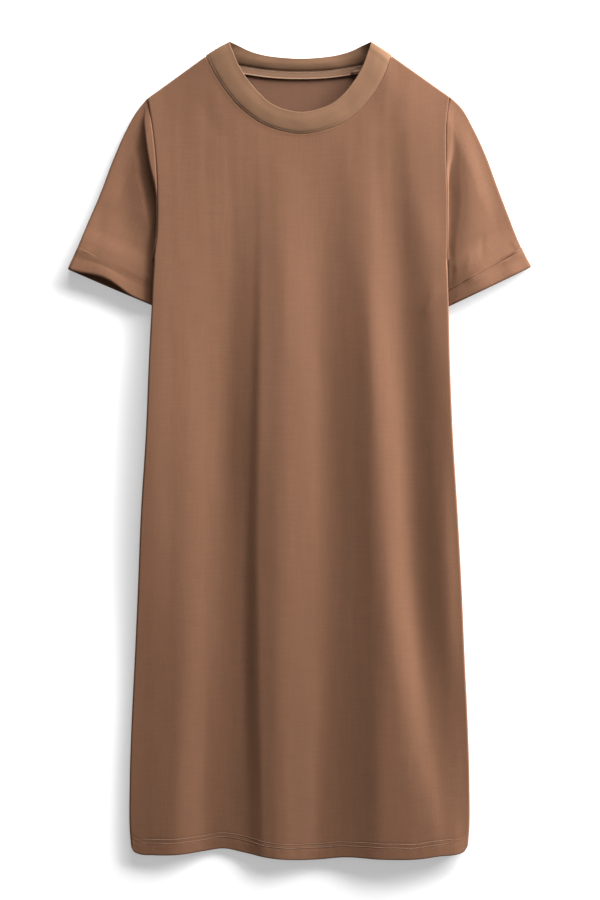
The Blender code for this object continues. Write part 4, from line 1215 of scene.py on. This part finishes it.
def add(tree, kind, **inputs):
    """A node with some of its inputs, by name or as i0, i1, set or linked."""
    node = tree.nodes.new(kind)
    for key, value in inputs.items():
        socket = node.inputs[int(key[1:]) if key in ("i0", "i1") else key.replace("_", " ")]
        if isinstance(value, bpy.types.NodeSocket):
            tree.links.new(value, socket)
        else:
            socket.default_value = value
    return node


def maths(tree, operation, a, b=0.0):
    node = add(tree, "ShaderNodeMath", i0=a, i1=b)
    node.operation = operation
    return node.outputs[0]


def stretched_noise(group, plane, across, along, detail=2.0):
    """Noise with its own scale across and along the cloth."""
    vector = add(group, "ShaderNodeVectorMath", i0=plane, i1=(across, along, 1.0))
    vector.operation = "MULTIPLY"
    noise = add(group, "ShaderNodeTexNoise", Vector=vector.outputs[0], Scale=1.0,
                Detail=detail)
    return noise.outputs["Fac"]


def ridges(tree, value, spacing):
    """Rounded ridges a spacing apart."""
    turns = maths(tree, "MULTIPLY", maths(tree, "DIVIDE", value, spacing), math.pi)
    return maths(tree, "ABSOLUTE", maths(tree, "SINE", turns))


def jersey_knit(tree, given, plane, across, along):
    """Fine jersey: columns of loops, flecked yarn, slow patches and painted loop shade."""
    column = ridges(tree, across, given["Column width"])
    course = maths(tree, "DIVIDE", along, given["Column width"])
    course = maths(tree, "MULTIPLY", course, LOOP_ROWS)
    slant = maths(tree, "MULTIPLY", column, LOOP_SLANT)
    loop = maths(tree, "SINE", maths(tree, "ADD", course, slant))
    loop = maths(tree, "ADD", maths(tree, "MULTIPLY", loop, 0.25), 0.75)
    knit = maths(tree, "MULTIPLY", column, loop)
    fuzz = maths(tree, "MULTIPLY", stretched_noise(tree, plane, *FUZZ), 0.8)
    noises = [(stretched_noise(tree, plane, *scales), given[strength]) for scales, strength in (
        (FLECK, "Fleck"), (STREAK, "Streak"), (COURSE, "Course"), (PATCH, "Patch"))]
    # The loops' relief also shades the colour, at half the fleck strength: painted shade
    # between the loops.
    noises.append((knit, maths(tree, "MULTIPLY", given["Fleck"], 0.5)))
    return maths(tree, "ADD", knit, fuzz), 1.0, noises


def fine_rib(tree, given, plane, round_band, out):
    """Fine rib across the band, of flecked yarn; painted shade darkens its grooves."""
    rib = ridges(tree, round_band, given["Rib width"])
    course = maths(tree, "SINE", maths(tree, "MULTIPLY", out, RIB_ROWS))
    height = maths(tree, "ADD", rib, maths(tree, "MULTIPLY", course, 0.15))
    fuzz = maths(tree, "MULTIPLY", stretched_noise(tree, plane, *FUZZ), 0.6)
    # Painted shade: the colour darkens in the grooves between the ribs and lightens on their
    # tops.
    painted_groove_shade = maths(tree, "MULTIPLY", maths(tree, "SUBTRACT", rib, 0.64), given["Groove"])
    return maths(tree, "ADD", height, fuzz), maths(tree, "ADD", painted_groove_shade, 1.0), [
        (stretched_noise(tree, plane, *FLECK), given["Fleck"]),
        (stretched_noise(tree, plane, *SMEAR), given["Groove"])]


def shared_group(pattern, labels):
    """Node group of a knit, made once: pattern gives its height, its shade and the noises
    over it with their strengths."""
    name = pattern.__name__.replace("_", " ").capitalize()
    if name in bpy.data.node_groups:
        return bpy.data.node_groups[name]
    group = bpy.data.node_groups.new(name, "ShaderNodeTree")
    sockets = [("Colour", "INPUT", "Color")] + [(label, "INPUT", "Float") for label in labels]
    for label, way, kind in sockets + [("Colour", "OUTPUT", "Color"),
                                       ("Height", "OUTPUT", "Float")]:
        group.interface.new_socket(label, in_out=way, socket_type="NodeSocket" + kind)
    given = group.nodes.new("NodeGroupInput").outputs
    result = group.nodes.new("NodeGroupOutput").inputs
    plane = group.nodes.new("ShaderNodeUVMap")
    plane.uv_map = UV_NAME
    split = add(group, "ShaderNodeSeparateXYZ", Vector=plane.outputs["UV"])
    height, shade, noises = pattern(group, given, plane.outputs["UV"], split.outputs["X"],
                                    split.outputs["Y"])
    for noise, strength in noises:
        change = maths(group, "MULTIPLY", maths(group, "SUBTRACT", noise, 0.5), strength)
        shade = maths(group, "ADD", change, shade)
    tint = add(group, "ShaderNodeVectorMath", i0=given["Colour"])
    tint.operation = "SCALE"
    group.links.new(shade, tint.inputs["Scale"])
    group.links.new(tint.outputs[0], result["Colour"])
    group.links.new(height, result["Height"])
    return group


def new_material(name, **inputs):
    """Material with its Principled BSDF set."""
    mat = bpy.data.materials.new(name)
    mat.use_nodes = True
    bsdf = mat.node_tree.nodes["Principled BSDF"]
    for key, value in inputs.items():
        bsdf.inputs[key.replace("_", " ")].default_value = value
    return mat, mat.node_tree, bsdf


def cloth_material(name, pattern, colour, relief, **values):
    """Soft matte cloth with its knit in the surface, and painted in the colour as shade."""
    if name in bpy.data.materials:
        return bpy.data.materials[name]
    mat, tree, bsdf = new_material(
        name, Roughness=0.88, Specular_IOR_Level=0.25, Sheen_Weight=0.08,
        Sheen_Roughness=0.45, Sheen_Tint=(1.0, 0.82, 0.72, 1.0))
    knit = tree.nodes.new("ShaderNodeGroup")
    values = {key.replace("_", " "): value for key, value in values.items()}
    knit.node_tree = shared_group(pattern, values)
    for key, value in {"Colour": colour, **values}.items():
        knit.inputs[key].default_value = value
    tree.links.new(knit.outputs["Colour"], bsdf.inputs["Base Color"])
    raised = add(tree, "ShaderNodeBump", Height=knit.outputs["Height"], Strength=relief,
                 Distance=RELIEF)
    tree.links.new(raised.outputs["Normal"], bsdf.inputs["Normal"])
    return mat


def jersey(name, colour):
    # Fleck also sets the painted shade between the loops.
    return cloth_material(name, jersey_knit, colour, 0.35, Column_width=0.0009, Fleck=0.26,
                          Streak=0.16, Course=0.18, Patch=0.10)


def thread_material(colour):
    """Spun polyester thread: a twisted, slightly shiny yarn."""
    mat, tree, bsdf = new_material("thread", Roughness=0.55, Sheen_Weight=0.3)
    place_on = tree.nodes.new("ShaderNodeTexCoord")
    twist = add(tree, "ShaderNodeTexNoise", Vector=place_on.outputs["Object"], Scale=900.0)
    ramp = add(tree, "ShaderNodeMix", Factor=twist.outputs["Fac"])
    ramp.data_type = "RGBA"
    for socket, share in (("A", 0.8), ("B", 1.15)):
        ramp.inputs[socket].default_value = [share * c for c in colour[:3]] + [1.0]
    tree.links.new(ramp.outputs["Result"], bsdf.inputs["Base Color"])
    return mat


# ---------------------------------------------------------------- operators
class DRESS_OT_back_panel(bpy.types.Operator):
    """Back panel, flat on the table but for the lift over the tucked sleeves"""

    bl_idname = "dress.back_panel"
    bl_label = "Back panel"

    def execute(self, context):
        # The back panel takes the darker inside colour, which is painted shade of the neck
        # opening.
        mat = jersey("jersey_inside_shaded", context.scene.dress_colours.inside)
        body_panel("back_panel", False, context.scene.dress_sizes, mat)
        return {"FINISHED"}


class DRESS_OT_front_panel(bpy.types.Operator):
    """Front panel with its lengthwise folds and turned-up hem"""

    bl_idname = "dress.front_panel"
    bl_label = "Front panel"

    def execute(self, context):
        mat = jersey("jersey", context.scene.dress_colours.jersey)
        body_panel("front_panel", True, context.scene.dress_sizes, mat)
        return {"FINISHED"}


class DRESS_OT_sleeves(bpy.types.Operator):
    """Both short sleeves, tucked under the body's sides"""

    bl_idname = "dress.sleeves"
    bl_label = "Sleeves"

    def execute(self, context):
        mat = jersey("jersey", context.scene.dress_colours.jersey)
        for side in SIDE_SIGN:
            sleeve_piece(side, context.scene.dress_sizes, mat)
        return {"FINISHED"}


class DRESS_OT_cuffs(bpy.types.Operator):
    """Both turned-up cuffs"""

    bl_idname = "dress.cuffs"
    bl_label = "Cuffs"

    def execute(self, context):
        mat = jersey("jersey", context.scene.dress_colours.jersey)
        for side in SIDE_SIGN:
            cuff_piece(side, context.scene.dress_sizes, mat)
        return {"FINISHED"}


class DRESS_OT_neckband(bpy.types.Operator):
    """Doubled rib neckband, lying down all round"""

    bl_idname = "dress.neckband"
    bl_label = "Neckband"

    def execute(self, context):
        # Groove sets the painted shade between the ribs and the smear of the yarn.
        mat = cloth_material("rib", fine_rib, context.scene.dress_colours.rib, 0.5,
                             Rib_width=0.0013, Groove=0.16, Fleck=0.18)
        neckband_piece(context.scene.dress_sizes, mat)
        return {"FINISHED"}


class DRESS_OT_neck_tape(bpy.types.Operator):
    """Tape over the back neck seam, and the seam end beside it"""

    bl_idname = "dress.neck_tape"
    bl_label = "Neck tape"

    def execute(self, context):
        # Fleck also sets the painted shade between the loops.
        mat = cloth_material("tape", jersey_knit, context.scene.dress_colours.tape, 0.35,
                             Column_width=0.0008, Fleck=0.18, Streak=0.06, Course=0.10,
                             Patch=0.05)
        for build in (tape_piece, seam_end_piece):
            build(context.scene.dress_sizes, mat)
        return {"FINISHED"}


class DRESS_OT_stitches(bpy.types.Operator):
    """Twin-needle hem rows, neck topstitch and tape stitches"""

    bl_idname = "dress.stitches"
    bl_label = "Stitches"

    def execute(self, context):
        sizes = context.scene.dress_sizes
        mat = thread_material(context.scene.dress_colours.thread)
        low = sizes.hem_row / MM
        hem = [on_front(hem_line(d), sizes.cloth / MM / 2, sizes.crease)
               for d in (low, low + sizes.needle_gap / MM)]
        tape = []
        for out in (TAPE_UPPER_ROW, TAPE_FROM + TAPE_LOWER_ROW * sizes.tape_width / MM):
            points = tape_line(sizes, out, TAPE_POINTS, TAPE_ROWS_SPAN)
            points[:, 2] += sizes.tape / MM / 2
            tape.append((points, np.tile([0.0, 0.0, 1.0], (len(points), 1))))
        for name, rows, slot in (("hem_stitches", hem, "front_panel"),
                                 ("neck_stitches", [rim_line(sizes)], "neckband"),
                                 ("tape_stitches", tape, "neck_tape")):
            stitch_rows(name, rows, sizes, mat)
        return {"FINISHED"}


class DRESS_OT_stage(bpy.types.Operator):
    """Pale table, soft light from the upper right, and the camera straight above"""

    bl_idname = "dress.stage"
    bl_label = "Stage"

    def execute(self, context):
        stage = context.scene.dress_stage
        bpy.ops.mesh.primitive_plane_add(size=TABLE_SIZE)
        table = context.active_object
        table.name = "table"
        table.data.materials.append(new_material(
            "table", Base_Color=stage.table, Emission_Color=WHITE,
            Emission_Strength=stage.glow, Roughness=0.9, Specular_IOR_Level=0.1)[0])
        world = bpy.data.worlds.new("studio")
        world.use_nodes = True
        background = world.node_tree.nodes["Background"]
        background.inputs["Color"].default_value = WHITE
        background.inputs["Strength"].default_value = stage.sky
        context.scene.world = world
        for name, power, (turned, raised, away, width, depth) in (
                ("key", stage.key, KEY_LIGHT), ("top", stage.top, TOP_LIGHT)):
            light = bpy.data.lights.new(name, "AREA")
            light.shape = "RECTANGLE"
            light.size = width
            light.size_y = depth
            light.energy = power
            lamp = new_object(name, light)
            towards = mathutils.Vector((
                math.cos(raised) * math.cos(turned), math.cos(raised) * math.sin(turned),
                math.sin(raised)))
            lamp.location = mathutils.Vector(LIT_POINT) + away * towards
            lamp.rotation_euler = towards.to_track_quat("Z", "Y").to_euler()
        camera = bpy.data.cameras.new("camera")
        camera.lens = stage.lens
        camera.sensor_width = SENSOR_WIDTH
        context.scene.camera = new_object("camera", camera)
        context.scene.camera.location = (0.0, 0.0, stage.camera_height)
        context.scene.view_settings.view_transform = "Standard"
        return {"FINISHED"}


class DRESS_PT_panel(bpy.types.Panel):
    """Lists the steps of the dress and its settings"""

    bl_idname = "DRESS_PT_panel"
    bl_label = "T-shirt dress"
    bl_space_type = "VIEW_3D"
    bl_region_type = "UI"
    bl_category = "Dress"

    def draw(self, context):
        for step in STEPS:
            self.layout.operator(step.bl_idname)
        for group in ("dress_sizes", "dress_colours", "dress_stage"):
            settings = getattr(context.scene, group)
            box = self.layout.box()
            for name in settings.bl_rna.properties.keys():
                if name not in ("rna_type", "name"):
                    box.prop(settings, name)


STEPS = (DRESS_OT_back_panel, DRESS_OT_neck_tape, DRESS_OT_front_panel, DRESS_OT_sleeves,
         DRESS_OT_cuffs, DRESS_OT_neckband, DRESS_OT_stitches, DRESS_OT_stage)
SETTINGS = (("dress_sizes", DressSizes), ("dress_colours", DressColours),
            ("dress_stage", StageSettings))


def register():
    for name, group in SETTINGS:
        bpy.utils.register_class(group)
        setattr(bpy.types.Scene, name, bpy.props.PointerProperty(type=group))
    for step in STEPS:
        bpy.utils.register_class(step)
    bpy.utils.register_class(DRESS_PT_panel)


def unregister():
    bpy.utils.unregister_class(DRESS_PT_panel)
    for step in reversed(STEPS):
        bpy.utils.unregister_class(step)
    for name, group in reversed(SETTINGS):
        delattr(bpy.types.Scene, name)
        bpy.utils.unregister_class(group)


def main():
    register()
    for step in STEPS:
        module, name = step.bl_idname.split(".")
        getattr(getattr(bpy.ops, module), name)()


if __name__ == "__main__":
    main()
